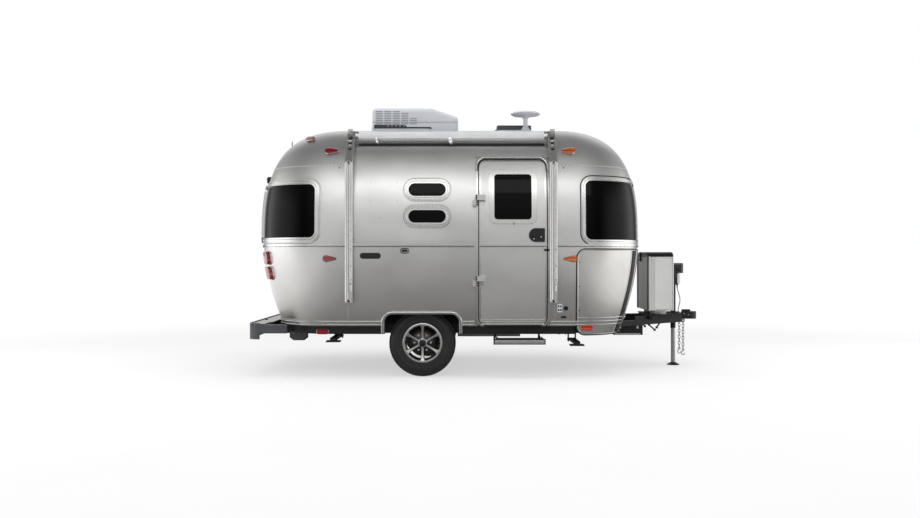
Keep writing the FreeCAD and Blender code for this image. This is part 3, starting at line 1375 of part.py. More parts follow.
def marker(x, z, sign, way):
    """Teardrop lens seen from the side: round at one end, drawn to a point at the other."""
    r, tip = marker_height / 2, marker_height / 6
    y = side(sign)
    round_x = x - way * (marker_length / 2 - r)
    point_x = x + way * (marker_length / 2 - tip)
    body = prism_y([(round_x, z - r), (point_x, z - tip), (point_x, z + tip), (round_x, z + r)], y)
    return fuse([body, rod((round_x, y[0], z), (round_x, y[1], z), r),
                 rod((point_x, y[0], z), (point_x, y[1], z), tip)])


def build_lamps():
    red, amber = [], []
    rear_skin = layer("rear", -lamp_proud, 0)
    front_skin = layer("front", -lamp_proud, 0)
    tail_skin = layer("rear", -tail_proud, 0)
    for sign in (-1, 1):
        for z in marker_zs:
            red += rear_skin.common(marker(rear_marker_x, z, sign, 1)).Solids
            amber += front_skin.common(marker(front_marker_x, z, sign, -1)).Solids
        for z in tail_zs:
            tool = pad_x((sign * (tail_y - tail_width / 2), sign * (tail_y + tail_width / 2)), z,
                         (FAR_REAR, rear_seam_x - rear_cap_depth / 2), tail_radius)
            red += tail_skin.common(tool).Solids
        edge = pad_y((clearance_x - clearance_length / 2, clearance_x + clearance_length / 2),
                     (clearance_z - clearance_height / 2, clearance_z + clearance_height / 2),
                     side(sign), clearance_height / 2)
        red += rear_skin.common(edge).Solids
    parts["lamps_red"] = Part.Compound(red)
    parts["lamps_amber"] = Part.Compound(amber)


def build_fittings():
    """Bare badge plate, ports, outlets and service hatch, proud of the walls, and a camera."""
    pieces = []

    def plate(zone, x, z, sign, radius, proud=fitting_proud):
        tool = pad_y(x, z, side(sign), radius)
        return layer(zone, -proud, 0).common(tool).Solids

    for x, z in ((badge_x, badge_z), (port_x, port_z)):
        pieces += plate("middle", x, z, -1, (z[1] - z[0]) / 2)
    pieces += plate("front", outlet_x, outlet_z, -1, fitting_proud)
    pieces += plate("front", inlet_x, inlet_z, -1, (inlet_z[1] - inlet_z[0]) / 2)
    pieces += plate("middle", hatch_x, hatch_z, 1, hatch_corner)
    rear_x = rear_seam_x - rear_cap_depth
    housing = rod((rear_x - camera_reach, 0, camera_z), (rear_seam_x - rear_cap_depth / 2, 0, camera_z),
                  camera_radius)
    pieces += housing.cut(hull("rear", 0)).Solids[:1]
    parts["wall_fittings"] = Part.Compound(pieces)


def chain_outline(half_w, half_h, corner):
    """Tall outline with cut corners, as (x, z) pairs."""
    return [(half_w - corner, -half_h), (half_w, corner - half_h), (half_w, half_h - corner),
            (half_w - corner, half_h), (corner - half_w, half_h), (-half_w, half_h - corner),
            (-half_w, corner - half_h), (corner - half_w, -half_h)]


def chain_link(centre, turned):
    """One link hanging on end, turned a quarter about its length or not."""
    w, h, t, c = chain_half_width, chain_half_length, chain_wire, link_corner
    inner_corner = c - t * (2 - math.sqrt(2))
    link = prism_y(chain_outline(w, h, c), (-t / 2, t / 2)).cut(
        prism_y(chain_outline(w - t, h - t, inner_corner), (-t, t)))
    if turned:
        link.rotate(Vector(), Vector(0, 0, 1), 90)
    link.translate(centre)
    return link


def chain_hook(bar_top):
    """Open hook whose eye hangs on the lower bar of the last link."""
    t, eye, bend = hook_wire, hook_eye_radius, hook_radius
    hole = eye - t * 0.8
    sides = [math.radians(30 * k) for k in range(12)]

    def ring(radius, z, y):
        return prism_y([(radius * math.cos(a), z + radius * math.sin(a)) for a in sides], y)

    bend_z = -eye - bend
    pieces = [ring(eye, 0, (-t / 2, t / 2)), box((-bend, t - bend), (-t / 2, t / 2), (bend_z, -eye / 2)),
              box((-bend, t / 2), (-t / 2, t / 2), (-eye, t - eye)),
              ring(bend, bend_z, (-t / 2, t / 2)).cut(ring(bend - t, bend_z, (-t, t)))]
    mouth = box((t - bend, bend * 2), (-t, t), (bend_z, -eye))
    hook = fuse(pieces[:3] + [pieces[3].cut(mouth)]).cut(ring(hole, 0, (-t, t)))
    hook.translate(Vector(0, 0, bar_top - hole * math.cos(sides[1] / 2) + 2 * chain_slack))
    return hook


def build_chains():
    links = []
    pitch = 2 * (chain_half_length - chain_wire) - chain_slack
    seat_drop = math.sqrt(chain_lug_hole ** 2 - (chain_wire / 2) ** 2)
    first_z = chain_top_z - seat_drop + chain_slack / 2 + chain_wire - chain_half_length
    last_z = first_z - pitch * (chain_links - 1)
    for sign in (-1, 1):
        y = sign * chain_y
        for k in range(chain_links):
            links.append(chain_link(Vector(chain_x, y, first_z - pitch * k), k % 2 == 0))
        hook = chain_hook(last_z - chain_half_length + chain_wire)
        hook.translate(Vector(chain_x, y, 0))
        links.append(hook)
    parts["safety_chains"] = Part.Compound(links)


def cord_path(points, radius_share=0.45):
    """Straight runs joined by tangent arcs through a list of points."""
    points = [Vector(*p) for p in points]
    edges, start, radii = [], points[0], []
    for k in range(1, len(points) - 1):
        before, corner, after = points[k - 1], points[k], points[k + 1]
        u, v = (before - corner).normalize(), (after - corner).normalize()
        half_turn = (math.pi - u.getAngle(v)) / 2
        cut = radius_share * min((before - corner).Length, (after - corner).Length)
        radius = cut / math.tan(half_turn)
        radii.append(radius)
        enter, leave = corner + u * cut, corner + v * cut
        bisector = (u + v).normalize()
        middle = corner + bisector * (radius / math.cos(half_turn) - radius)
        edges += [Part.makeLine(start, enter), Part.Arc(enter, middle, leave).toShape()]
        start = leave
    edges.append(Part.makeLine(start, points[-1]))
    return Part.Wire(edges), radii


lead_diameter = 9.0
lead_points = [(2258.0, -40.0, 934.0), (2258.0, -40.0, 884.0), (2276.0, -52.0, 830.0),
               (2286.0, -70.0, 772.0), (2276.0, -82.0, 714.0), (2258.0, -86.0, 660.0),
               (2258.0, -86.0, 611.0)]


def build_lead():
    path, radii = cord_path(lead_points)
    start = Vector(*lead_points[0])
    along = Vector(*lead_points[1]) - start
    section = Part.Wire(Part.makeCircle(lead_diameter / 2, start, along))
    tube = path.makePipeShell([section], True, False)
    parts["jack_lead"] = tube if tube.ShapeType == "Solid" else Part.makeSolid(tube)
    ideal = math.pi * (lead_diameter / 2) ** 2 * path.Length
    print("lead radii", [round(r) for r in radii], "length", round(path.Length),
          "volume share", round(abs(tube.Volume) / ideal, 4))


build_shell()
build_floor()
build_trim()
build_windows()
build_door()
build_wheels()
build_chassis()
build_skirt()
build_step()
build_legs()
build_tongue()
build_coupler()
build_jack()
build_gas()
build_bumper()
build_roof_gear()
build_awning()
build_guards()
build_tank()
build_lamps()
build_fittings()
build_chains()
build_lead()

for name, shape in parts.items():
    shape.exportStep("parts/%s.step" % name)
    print(name, "valid", shape.isValid(), "solids", len(shape.Solids),
          "volume", round(shape.Volume / 1e6, 2))
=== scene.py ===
import math

import bmesh
import bpy
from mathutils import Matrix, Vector


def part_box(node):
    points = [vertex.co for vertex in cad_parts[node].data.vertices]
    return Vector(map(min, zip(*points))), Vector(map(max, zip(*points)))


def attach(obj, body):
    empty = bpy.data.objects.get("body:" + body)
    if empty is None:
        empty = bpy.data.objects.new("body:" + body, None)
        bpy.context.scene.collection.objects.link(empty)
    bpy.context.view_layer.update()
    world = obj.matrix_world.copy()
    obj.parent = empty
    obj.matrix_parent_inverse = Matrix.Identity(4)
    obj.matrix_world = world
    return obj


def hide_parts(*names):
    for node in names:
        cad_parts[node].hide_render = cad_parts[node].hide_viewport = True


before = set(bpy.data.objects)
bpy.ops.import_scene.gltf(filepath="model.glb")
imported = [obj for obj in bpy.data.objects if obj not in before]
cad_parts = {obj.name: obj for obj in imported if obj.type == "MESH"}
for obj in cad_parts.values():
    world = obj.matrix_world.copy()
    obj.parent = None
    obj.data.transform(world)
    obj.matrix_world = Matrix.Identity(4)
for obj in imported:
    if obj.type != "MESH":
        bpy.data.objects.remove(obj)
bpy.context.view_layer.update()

# Looks of the riveted aluminium travel caravan. Metres, +X to the hitch, +Z up,
# the entrance door on the side that faces -Y.

bl_info = {
    "name": "Travel caravan",
    "version": (1, 0, 0),
    "blender": (4, 5, 0),
    "location": "3D View > Sidebar > Caravan",
    "description": "Dresses the packed caravan frame with its finishes and its fine pieces",
    "category": "Object",
}

MM = 0.001
WAVE_UNIT = 20      # radians of a wave texture in a metre at a scale of 1

# Shape of the body, as in the part's source
HALF, ROOF_HALF = 1.220, 0.250
FLOOR, BELT, ROOF = 0.537, 1.375, 2.665
REAR_SEAM, FRONT_SEAM = -1.428, 0.712
REAR_DEPTH, FRONT_DEPTH = 1.040, 1.006
SIDE_TUCK, REAR_TUCK, FRONT_TUCK = 0.045, 0.215, 0.180
PLAN_POWER = 3.1
CURB, STREET = -1, 1
REAR, FRONT = -1, 1


def linear(code):
    """Linear red, green, blue and one out of an sRGB hex value."""
    parts = [int(code[k:k + 2], 16) / 255 for k in (1, 3, 5)]
    return tuple(p / 12.92 if p <= 0.04045 else ((p + 0.055) / 1.055) ** 2.4 for p in parts) + (1.0,)


def length(name, default, smallest, description):
    """A size in metres that a user may change."""
    return bpy.props.FloatProperty(name=name, description=description, default=default, min=smallest,
                                   unit="LENGTH")


def tone(name, code, description):
    """A colour that a user may change."""
    return bpy.props.FloatVectorProperty(name=name, description=description, subtype="COLOR", size=4,
                                         min=0, max=1, default=linear(code))


class CaravanSizes(bpy.types.PropertyGroup):
    """Sizes of the fine pieces."""
    rivet_head: length("Rivet head", 0.0085, 0.002, "Diameter of a body rivet's head")
    rivet_pitch: length("Rivet pitch", 0.032, 0.01, "Distance between rivets along a seam")
    lap_width: length("Lap width", 0.026, 0.005, "Width of the raised lap at a seam between two sheets")
    lap_height: length("Lap height", 0.0014, 0.0005, "How far a lap stands on the sheet")
    gasket: length("Gasket", 0.009, 0.002, "Diameter of the rubber seal round a pane")
    door_mould: length("Door mould", 0.026, 0.005, "Diameter of the rounded mould over the doorway")
    tread_depth: length("Tread depth", 0.0075, 0.001, "Height of the tyre's tread blocks")
    lug_nut: length("Lug nut", 0.021, 0.005, "Width of a wheel nut across its flats")
    chain_wire: length("Chain wire", 0.008, 0.002, "Diameter of the wire of the safety chains")


class CaravanColours(bpy.types.PropertyGroup):
    """Colours that a user may change."""
    sheet: tone("Body sheet", "#DEDEDD", "Clear-coated aluminium of the walls and ends")
    trim: tone("Trim", "#E2E2E0", "Bright rails, frames and rings")
    chassis: tone("Chassis paint", "#0C0C0D", "Satin black paint of the running gear")
    cooler: tone("Roof plastics", "#D9DBE2", "Moulded covers of the roof equipment")
    cover: tone("Gas cover", "#CFCFCE", "Satin sheet round the gas bottles")
    red: tone("Red lens", "#9E0A1C", "Rear lamps")
    amber: tone("Amber lens", "#E06A12", "Front lamps")


def sizes():
    return bpy.context.scene.caravan_sizes


def colours():
    return bpy.context.scene.caravan_colours


# Finishes

FINISHES = {}
# finishes that many pieces share
BRIGHT = "bright_anodised_extrusion"
RUBBER = "black_seal_rubber"
BLACK = "black_moulded_abs"
WHITE = "white_moulded_abs"
ZINC = "zinc_plated_steel"
CHASSIS = "satin_black_chassis_paint"


def add(tree, kind, settings=None, inputs=None):
    """A node with its settings, and its inputs given as values or as the sockets that feed them."""
    made = tree.nodes.new(kind)
    for key, value in (settings or {}).items():
        setattr(made, key, value)
    for key, value in (inputs or {}).items():
        if isinstance(value, bpy.types.NodeSocket):
            tree.links.new(value, made.inputs[key])
        else:
            made.inputs[key].default_value = value
    return made


def ranged(tree, value, low, high, span=(0.0, 1.0), smooth=False):
    """Value that runs from low to high while another runs through a span."""
    kind = "SMOOTHSTEP" if smooth else "LINEAR"
    return add(tree, "ShaderNodeMapRange", {"interpolation_type": kind},
               {"Value": value, "From Min": span[0], "From Max": span[1],
                "To Min": low, "To Max": high}).outputs[0]


def mixed(tree, share, first, second):
    """Colour that runs from one to another with a share."""
    return add(tree, "ShaderNodeMix", {"data_type": "RGBA"}, {0: share, 6: first, 7: second}).outputs[2]


def result_of(tree, operation, first, second=0.5):
    """Result of one arithmetic step in a material or a pattern."""
    return add(tree, "ShaderNodeMath", {"operation": operation}, {0: first, 1: second}).outputs[0]


def darker(colour, share):
    """The same colour at a share of its strength."""
    return [c * share for c in colour[:3]] + [1]


class Finish:
    """A material in the making, with its surface shader and object coordinates."""

    def __init__(self, name, shader_inputs):
        material = bpy.data.materials.new(name)
        material.use_nodes = True
        self.tree = material.node_tree
        self.tree.nodes.clear()
        self.shader = add(self.tree, "ShaderNodeBsdfPrincipled", None, shader_inputs)
        add(self.tree, "ShaderNodeOutputMaterial", None, {"Surface": self.shader.outputs[0]})
        self.place = add(self.tree, "ShaderNodeTexCoord").outputs["Object"]
        FINISHES[name] = material

    def noise(self, size, place=None, **inputs):
        """Cloudy pattern whose patches are about one size across, in metres."""
        given = {"Vector": place or self.place, "Scale": 1 / size, **inputs}
        return add(self.tree, "ShaderNodeTexNoise", None, given).outputs["Fac"]

    def stretched(self, scale, shift=(0.0, 0.0, 0.0)):
        """Coordinates drawn out or squeezed along the axes."""
        return add(self.tree, "ShaderNodeMapping", None,
                   {"Vector": self.place, "Location": shift, "Scale": scale}).outputs[0]

    def tint(self, share, dark, light):
        """Base colour between two tones."""
        self.tree.links.new(mixed(self.tree, share, dark, light), self.shader.inputs["Base Color"])

    def rough(self, share, low, high, span=(0.0, 1.0)):
        """Roughness between two values."""
        self.tree.links.new(ranged(self.tree, share, low, high, span), self.shader.inputs["Roughness"])

    def bump(self, height, strength, distance, under=None):
        """Small relief, laid over another where one is given."""
        inputs = {"Height": height, "Strength": strength, "Distance": distance}
        if under:
            inputs["Normal"] = under
        made = add(self.tree, "ShaderNodeBump", None, inputs).outputs[0]
        self.tree.links.new(made, self.shader.inputs["Normal"])
        return made


def sheet_aluminium(name, low_painted_shade):
    """Clear-coated rolled aluminium sheet, so it is satin and slightly wavy, with painted shade that darkens
    it low down.
    """
    made = Finish(name, {"Metallic": 0.92, "Coat Weight": 0.18, "Coat Roughness": 0.22, "Coat IOR": 1.5})
    tree, sheet = made.tree, colours().sheet
    tone = add(tree, "ShaderNodeValToRGB", None, {"Fac": made.noise(0.55, Detail=3.0, Roughness=0.5)})
    for element, spot, colour in zip(tone.color_ramp.elements, (0.32, 0.68), (darker(sheet, 0.88), sheet)):
        element.position, element.color = spot, colour
    split = add(tree, "ShaderNodeSeparateXYZ", None, {"Vector": made.place})
    # painted shade: from 1.45 m down to 0.5 m the colour runs to the low tone, as if the lower walls mirrored
    # dark ground
    height = ranged(tree, split.outputs["Z"], 0.0, 1.0, (0.5, 1.45))
    made.tint(height, linear(low_painted_shade), tone.outputs["Color"])
    made.rough(made.noise(0.09, made.stretched((1.0, 1.0, 14.0)), Detail=4.0), 0.27, 0.42)
    dents = add(tree, "ShaderNodeTexVoronoi", {"feature": "SMOOTH_F1"},
                {"Vector": made.place, "Scale": 1 / 0.5, "Smoothness": 0.6, "Randomness": 1.0})
    swell = made.bump(made.noise(0.42, Detail=1.0, Roughness=0.4), 0.45, 0.02)
    made.bump(dents.outputs["Distance"], 0.12, 0.01, swell)


def bright_trim():
    """Bright anodised aluminium extrusion, so it is smooth with faint drawn lines along it."""
    made = Finish(BRIGHT, {"Metallic": 0.95})
    lines = made.noise(0.012, Detail=3.0, Roughness=0.6)
    made.rough(lines, 0.16, 0.32)
    made.tint(lines, darker(colours().trim, 0.85), colours().trim)
    made.bump(lines, 0.15, 0.0006)


def weathered_guard():
    """Satin aluminium guard sheet, so it is a little duller than the walls, with stone specks."""
    made = Finish("satin_aluminium_guard", {"Metallic": 0.9})
    clouds = made.noise(0.35, Detail=4.0)
    made.tint(clouds, linear("#B4B2AE"), linear("#DAD9D5"))
    specks = add(made.tree, "ShaderNodeTexVoronoi", None, {"Vector": made.place, "Scale": 1 / 0.02})
    made.rough(specks.outputs["Distance"], 0.5, 0.3, (0.05, 0.22))
    made.bump(clouds, 0.3, 0.008)


def gas_sheet():
    """Satin-painted formed sheet of the gas cover, so it is pale, even and softly wavy."""
    made = Finish("satin_painted_cover", {"Metallic": 0.1, "Roughness": 0.38})
    clouds = made.noise(0.3, Detail=3.0)
    made.tint(clouds, darker(colours().cover, 0.9), colours().cover)
    made.bump(clouds, 0.2, 0.004)


def privacy_glass():
    """Deep tinted safety glass, so it is near black with a hard reflection and a trace of dust."""
    made = Finish("deep_tinted_glass", {
        "Base Color": linear("#010102"), "IOR": 1.52, "Specular IOR Level": 0.1})
    made.rough(made.noise(0.06, Detail=5.0), 0.03, 0.09)


def satin_black_paint():
    """Sprayed satin black chassis paint with road dust, so it greys a little in patches."""
    made = Finish(CHASSIS, {"IOR": 1.5})
    dust = made.noise(0.11, Detail=6.0, Roughness=0.6)
    made.tint(dust, colours().chassis, linear("#1C1D1E"))
    made.rough(dust, 0.32, 0.62)
    made.bump(made.noise(0.004, Detail=1.0), 0.2, 0.0004)


def undercoat():
    """Black bitumen undercoat on the belly and in the wheel wells, so it is matt and pebbled."""
    made = Finish("bitumen_undercoat", {"IOR": 1.45})
    grit = made.noise(0.012, Detail=5.0)
    made.tint(grit, linear("#0A0A0B"), linear("#1B1B1C"))
    made.rough(grit, 0.7, 0.95)
    made.bump(grit, 0.5, 0.002)


def tyre_rubber():
    """Vulcanised tyre rubber with a bloom of dust, so it is dark grey and dull."""
    made = Finish("vulcanised_tyre_rubber", {"IOR": 1.5, "Sheen Weight": 0.08})
    bloom = made.noise(0.05, Detail=6.0)
    made.tint(bloom, linear("#111112"), linear("#262625"))
    made.rough(bloom, 0.42, 0.68)
    made.bump(made.noise(0.003, Detail=2.0), 0.25, 0.0004)


def machined_alloy():
    """Diamond-turned wheel alloy under lacquer, so it is bright with fine circles."""
    made = Finish("turned_wheel_alloy", {
        "Base Color": linear("#E6E6E4"), "Metallic": 1.0, "Coat Weight": 0.4, "Coat Roughness": 0.1})
    centre = made.stretched((1.0, 0.0, 1.0), (0.664, 0.0, -0.35))
    radius = add(made.tree, "ShaderNodeVectorMath", {"operation": "LENGTH"}, {0: centre})
    # lines about 3 mm apart, coarser than the lathe leaves, so that they show
    circles = add(made.tree, "ShaderNodeTexNoise", {"noise_dimensions": "1D"},
                  {"W": radius.outputs["Value"], "Scale": 1 / 0.003, "Detail": 2.0})
    made.rough(circles.outputs["Fac"], 0.14, 0.34)


def gloss_black():
    """Gloss black wheel paint, so the pockets between the spokes are deep and shiny."""
    made = Finish("gloss_black_wheel_paint", {"IOR": 1.5, "Coat Weight": 0.7, "Coat Roughness": 0.05})
    dust = made.noise(0.03, Detail=5.0)
    made.tint(dust, linear("#070708"), linear("#151516"))
    made.rough(dust, 0.15, 0.35)


def cast_iron():
    """Bare cast iron of the brake drums, so it is dark, rough and browned by rust."""
    made = Finish("rusted_cast_iron", {"Metallic": 0.55})
    rust = made.noise(0.04, Detail=6.0)
    made.tint(rust, linear("#1C1A19"), linear("#3A2E27"))
    made.rough(rust, 0.5, 0.9)
    made.bump(rust, 0.5, 0.0015)


def moulded_plastic(name, light, dark, low, high, grain_mm=1.6):
    """Moulded ABS with a fine cast texture; its two tones come from light weathering."""
    made = Finish(name, {"IOR": 1.53})
    wear = made.noise(0.18, Detail=5.0)
    made.tint(wear, dark, light)
    made.rough(wear, low, high)
    made.bump(made.noise(grain_mm * MM, Detail=1.0), 0.15, 0.0003)


def lens(name, colour):
    """Clear-dyed acrylic lens, so light sinks in; the ribs inside are painted as darker bands of shade."""
    made = Finish(name, {"IOR": 1.49, "Roughness": 0.12, "Transmission Weight": 0.25,
                         "Coat Weight": 0.5, "Coat Roughness": 0.05})
    # bands about 38 mm apart, wider than a real lens's ribs; the darker ones are painted shade of the ribs
    ribs = add(made.tree, "ShaderNodeTexWave", {"bands_direction": "Z"},
               {"Vector": made.place, "Scale": 1 / 0.006 / WAVE_UNIT, "Distortion": 0.0})
    made.tint(ribs.outputs["Fac"], darker(colour, 0.35), colour)


def zinc_plate():
    """Zinc-plated steel with spangle, so it is mid grey with lighter patches."""
    made = Finish(ZINC, {"Metallic": 0.85})
    spangle = add(made.tree, "ShaderNodeTexVoronoi", None, {"Vector": made.place, "Scale": 1 / 0.008})
    made.tint(spangle.outputs["Distance"], linear("#8F9193"), linear("#C6C8CA"))
    made.rough(spangle.outputs["Distance"], 0.28, 0.5)


def awning_cloth():
    """Coated woven awning cloth rolled tight, so it is satin with faint crosswise wrinkles."""
    made = Finish("rolled_coated_cloth", {"IOR": 1.45, "Sheen Weight": 0.15})
    folds = made.noise(0.05, made.stretched((0.25, 1.0, 1.0)), Detail=4.0)
    made.tint(folds, linear("#BDBFC1"), linear("#E4E5E6"))
    made.rough(folds, 0.45, 0.7)
    # folds about 13 mm apart across the roll
    weave = add(made.tree, "ShaderNodeTexWave", {"bands_direction": "X"},
                {"Vector": made.place, "Scale": 1 / 0.002 / WAVE_UNIT})
    made.bump(weave.outputs["Fac"], 0.1, 0.0004)


def make_finishes():
    sheet_aluminium("clear_coated_aluminium_sheet", "#B9B6B2")
    # the door leaf's copy of the sheet is painted lighter low down: a painted highlight where the door
    # catches more light than the wall
    sheet_aluminium("door_sheet_painted_lighter", "#E2E0DC")
    for make in (bright_trim, weathered_guard, gas_sheet, privacy_glass, satin_black_paint, undercoat,
                 tyre_rubber, machined_alloy, gloss_black, cast_iron, zinc_plate, awning_cloth):
        make()
    light = colours().cooler
    moulded_plastic(WHITE, light, darker(light, 0.86), 0.35, 0.5)
    for name, pale, deep, low, high, grain_mm in (
            ("grey_moulded_tank", "#5E6063", "#3C3E40", 0.5, 0.7, 1.6),
            (BLACK, "#101112", "#070708", 0.3, 0.5, 1.6),
            ("navy_moulded_abs", "#232A38", "#161B26", 0.35, 0.5, 1.6),
            ("slot_shadow_plastic", "#7E8796", "#5B6472", 0.5, 0.7, 1.6),
            ("smoked_acrylic_lid", "#4A4E52", "#33373B", 0.08, 0.18, 1.6),
            (RUBBER, "#101011", "#060606", 0.5, 0.75, 3.0),
            ("grey_powder_coat", "#4A4B50", "#36373B", 0.4, 0.6, 1.6),
            ("bottle_enamel", "#EDEDEA", "#D2D1CC", 0.25, 0.45, 4.0),
            ("grey_lead_sheath", "#1A1A1B", "#0E0E0F", 0.4, 0.6, 1.6)):
        moulded_plastic(name, linear(pale), linear(deep), low, high, grain_mm)
    for name, colour in (("red_acrylic_lens", colours().red), ("amber_acrylic_lens", colours().amber),
                         ("red_reflector_acrylic", linear("#B01424")),
                         ("orange_reflector_acrylic", linear("#E8541E"))):
        lens(name, colour)


NODE_FINISHES = {
    "clear_coated_aluminium_sheet": [
        "roof", "wall_curb", "wall_street", "rear_cap_lower", "rear_cap_upper",
        "front_cap_lower", "front_cap_upper"],
    "door_sheet_painted_lighter": ["door_leaf"],
    BRIGHT: [
        "belt_rail", "rub_rail", "end_window_frames", "side_window_frames", "door_frame",
        "door_window_frame", "awning_arms"],
    "satin_aluminium_guard": ["stone_guards"],
    "satin_painted_cover": ["gas_cover"],
    "deep_tinted_glass": ["end_glass", "side_glass", "door_glass"],
    CHASSIS: [
        "axle", "chassis_frame", "a_frame", "belly_skirt", "coupler", "step_lead_links",
        "step_follower_links", "step_tread", "outriggers", "step_mount",
        "stabilizer_front_left", "stabilizer_front_right",
        "stabilizer_rear_left", "stabilizer_rear_right", "bumper"],
    "bitumen_undercoat": ["floor"],
    "vulcanised_tyre_rubber": ["tyre_left", "tyre_right"],
    "turned_wheel_alloy": ["rim_left", "rim_right"],
    "rusted_cast_iron": ["drum_left", "drum_right"],
    "grey_moulded_tank": ["tank"],
    BLACK: ["door_handle", "jack_column", "wall_fittings", "gas_cover_lid",
                          "drawbar_box"],
    WHITE: ["ac_unit", "roof_fittings"],
    "smoked_acrylic_lid": ["vent_lid"],
    "bottle_enamel": ["gas_bottles"],
    "rolled_coated_cloth": ["awning_roll"],
    ZINC: ["jack_leg", "safety_chains", "bumper_lid"],
    "grey_lead_sheath": ["jack_lead"],
    "red_acrylic_lens": ["lamps_red"],
    "amber_acrylic_lens": ["lamps_amber"],
}


# Places on the body

def level(z):
    """Half width, rear reach and front reach of the body at a height."""
    if z <= BELT:
        tuck = ((BELT - z) / (BELT - FLOOR)) ** 1.7
        return HALF - SIDE_TUCK * tuck, REAR_DEPTH - REAR_TUCK * tuck, FRONT_DEPTH - FRONT_TUCK * tuck
    up = min((z - BELT) / (ROOF - BELT), 1.0)
    across = (1 - up ** 3) ** (1 / 3)
    return ROOF_HALF + (HALF - ROOF_HALF) * across, REAR_DEPTH * across, FRONT_DEPTH * across


def share_of(x, z):
    """How far out along an end a place is: 0 in the straight middle, 1 at the tip."""
    _, rear, front = level(z)
    if x < REAR_SEAM:
        return (REAR_SEAM - x) / max(rear, 1e-4)
    return max(x - FRONT_SEAM, 0) / max(front, 1e-4)


def facing(p):
    """Direction away from the body at a place on its skin."""
    def fill(x, y, z):
        return share_of(x, z) ** PLAN_POWER + (abs(y) / level(z)[0]) ** PLAN_POWER
    if p[2] > ROOF - 0.004 and REAR_SEAM < p[0] < FRONT_SEAM:
        return Vector((0, 0, 1))
    h = 2e-4
    slope = Vector([(fill(*(Vector(p) + step)) - fill(*(Vector(p) - step)))
                    for step in (Vector((h, 0, 0)), Vector((0, h, 0)), Vector((0, 0, h)))])
    return slope.normalized() if slope.length > 1e-9 else Vector((0, 0, 1))


def beside(x, z, way, out=0.0):
    """Place on the skin seen from a side, moved out from it."""
    y = level(z)[0] * max(0.0, 1 - share_of(x, z) ** PLAN_POWER) ** (1 / PLAN_POWER)
    p = Vector((x, way * y, z))
    return p + facing(p) * out


def at_end(y, z, way, out=0.0):
    """Place on the skin seen from the rear or the front."""
    half, rear, front = level(z)
    reach = (rear if way < 0 else front) * max(0.0, 1 - (abs(y) / half) ** PLAN_POWER) ** (1 / PLAN_POWER)
    p = Vector(((REAR_SEAM if way < 0 else FRONT_SEAM) + way * reach, y, z))
    return p + facing(p) * out


def round_end(turn, z, way):
    """Place on an end by its turn in plan, from the curb side at -90 to the street side at 90."""
    angle = math.radians(turn)
    half, rear, front = level(z)
    r = (abs(math.cos(angle)) ** PLAN_POWER + abs(math.sin(angle)) ** PLAN_POWER) ** (-1 / PLAN_POWER)
    reach = (rear if way < 0 else front) * r * math.cos(angle)
    return Vector(((REAR_SEAM if way < 0 else FRONT_SEAM) + way * reach,
                   half * r * math.sin(angle), z))


def over_roof(x, y):
    """Place on the straight roof by its distance from the centre line."""
    across = max(abs(y) - ROOF_HALF, 0) / (HALF - ROOF_HALF)
    return Vector((x, y, BELT + (ROOF - BELT) * (1 - min(across, 1) ** 3) ** (1 / 3)))


def facings(line):
    """Direction away from the body at each place of a line."""
    return [facing(p) for p in line]


def on_side(outline, side):
    """Places on the skin of one side, out of (x, z) pairs."""
    return [beside(x, z, side) for x, z in outline]


def on_end(outline, way):
    """Places on the skin of the rear or the front, out of (y, z) pairs."""
    return [at_end(y, z, way) for y, z in outline]


def even(first, last, count):
    """Values evenly spaced from one to another, both among them."""
    return [first + (last - first) * k / count for k in range(count + 1)]


def straight(start, end, count):
    """Places evenly spaced from a start to an end, both among them."""
    return [Vector(start).lerp(Vector(end), k / count) for k in range(count + 1)]


def arc(u, v, radius, first, step, count):
    """Outline points on a circle, from an angle and by a step in degrees."""
    turns = [math.radians(first + step * k) for k in range(count)]
    return [(u + radius * math.cos(a), v + radius * math.sin(a)) for a in turns]


def spread(corners, step, closed=False):
    """The same outline with points no further apart than a step."""
    corners = [Vector(c) for c in corners]
    ends = corners[1:] + (corners[:1] if closed else [])
    found = []
    for a, b in zip(corners, ends):
        count = max(1, math.ceil((b - a).length / step))
        found += [a.lerp(b, k / count) for k in range(count)]
    return found if closed else found + [corners[-1]]


def rounded(u, v, radius, step=0.03, turns=7):
    """Outline of a rounded rectangle."""
    (u0, u1), (v0, v1) = sorted(u), sorted(v)
    radius = min(radius, (u1 - u0) / 2, (v1 - v0) / 2)
    spots = []
    for cu, cv, start in ((u1 - radius, v1 - radius, 0), (u0 + radius, v1 - radius, 90),
                          (u0 + radius, v0 + radius, 180), (u1 - radius, v0 + radius, 270)):
        for k in range(turns + 1):
            a = math.radians(start + 90 * k / turns)
            spots.append((cu + radius * math.cos(a), cv + radius * math.sin(a)))
    clean = [s for k, s in enumerate(spots) if (Vector(s) - Vector(spots[k - 1])).length > 1e-5]
    return spread(clean, step, True)


def rounded_by(u, v, radius, grow, step=0.03, turns=7):
    """Outline of a rounded rectangle that is grown on every side."""
    return rounded((u[0] - grow, u[1] + grow), (v[0] - grow, v[1] + grow), radius + grow, step, turns)


# Putting meshes together

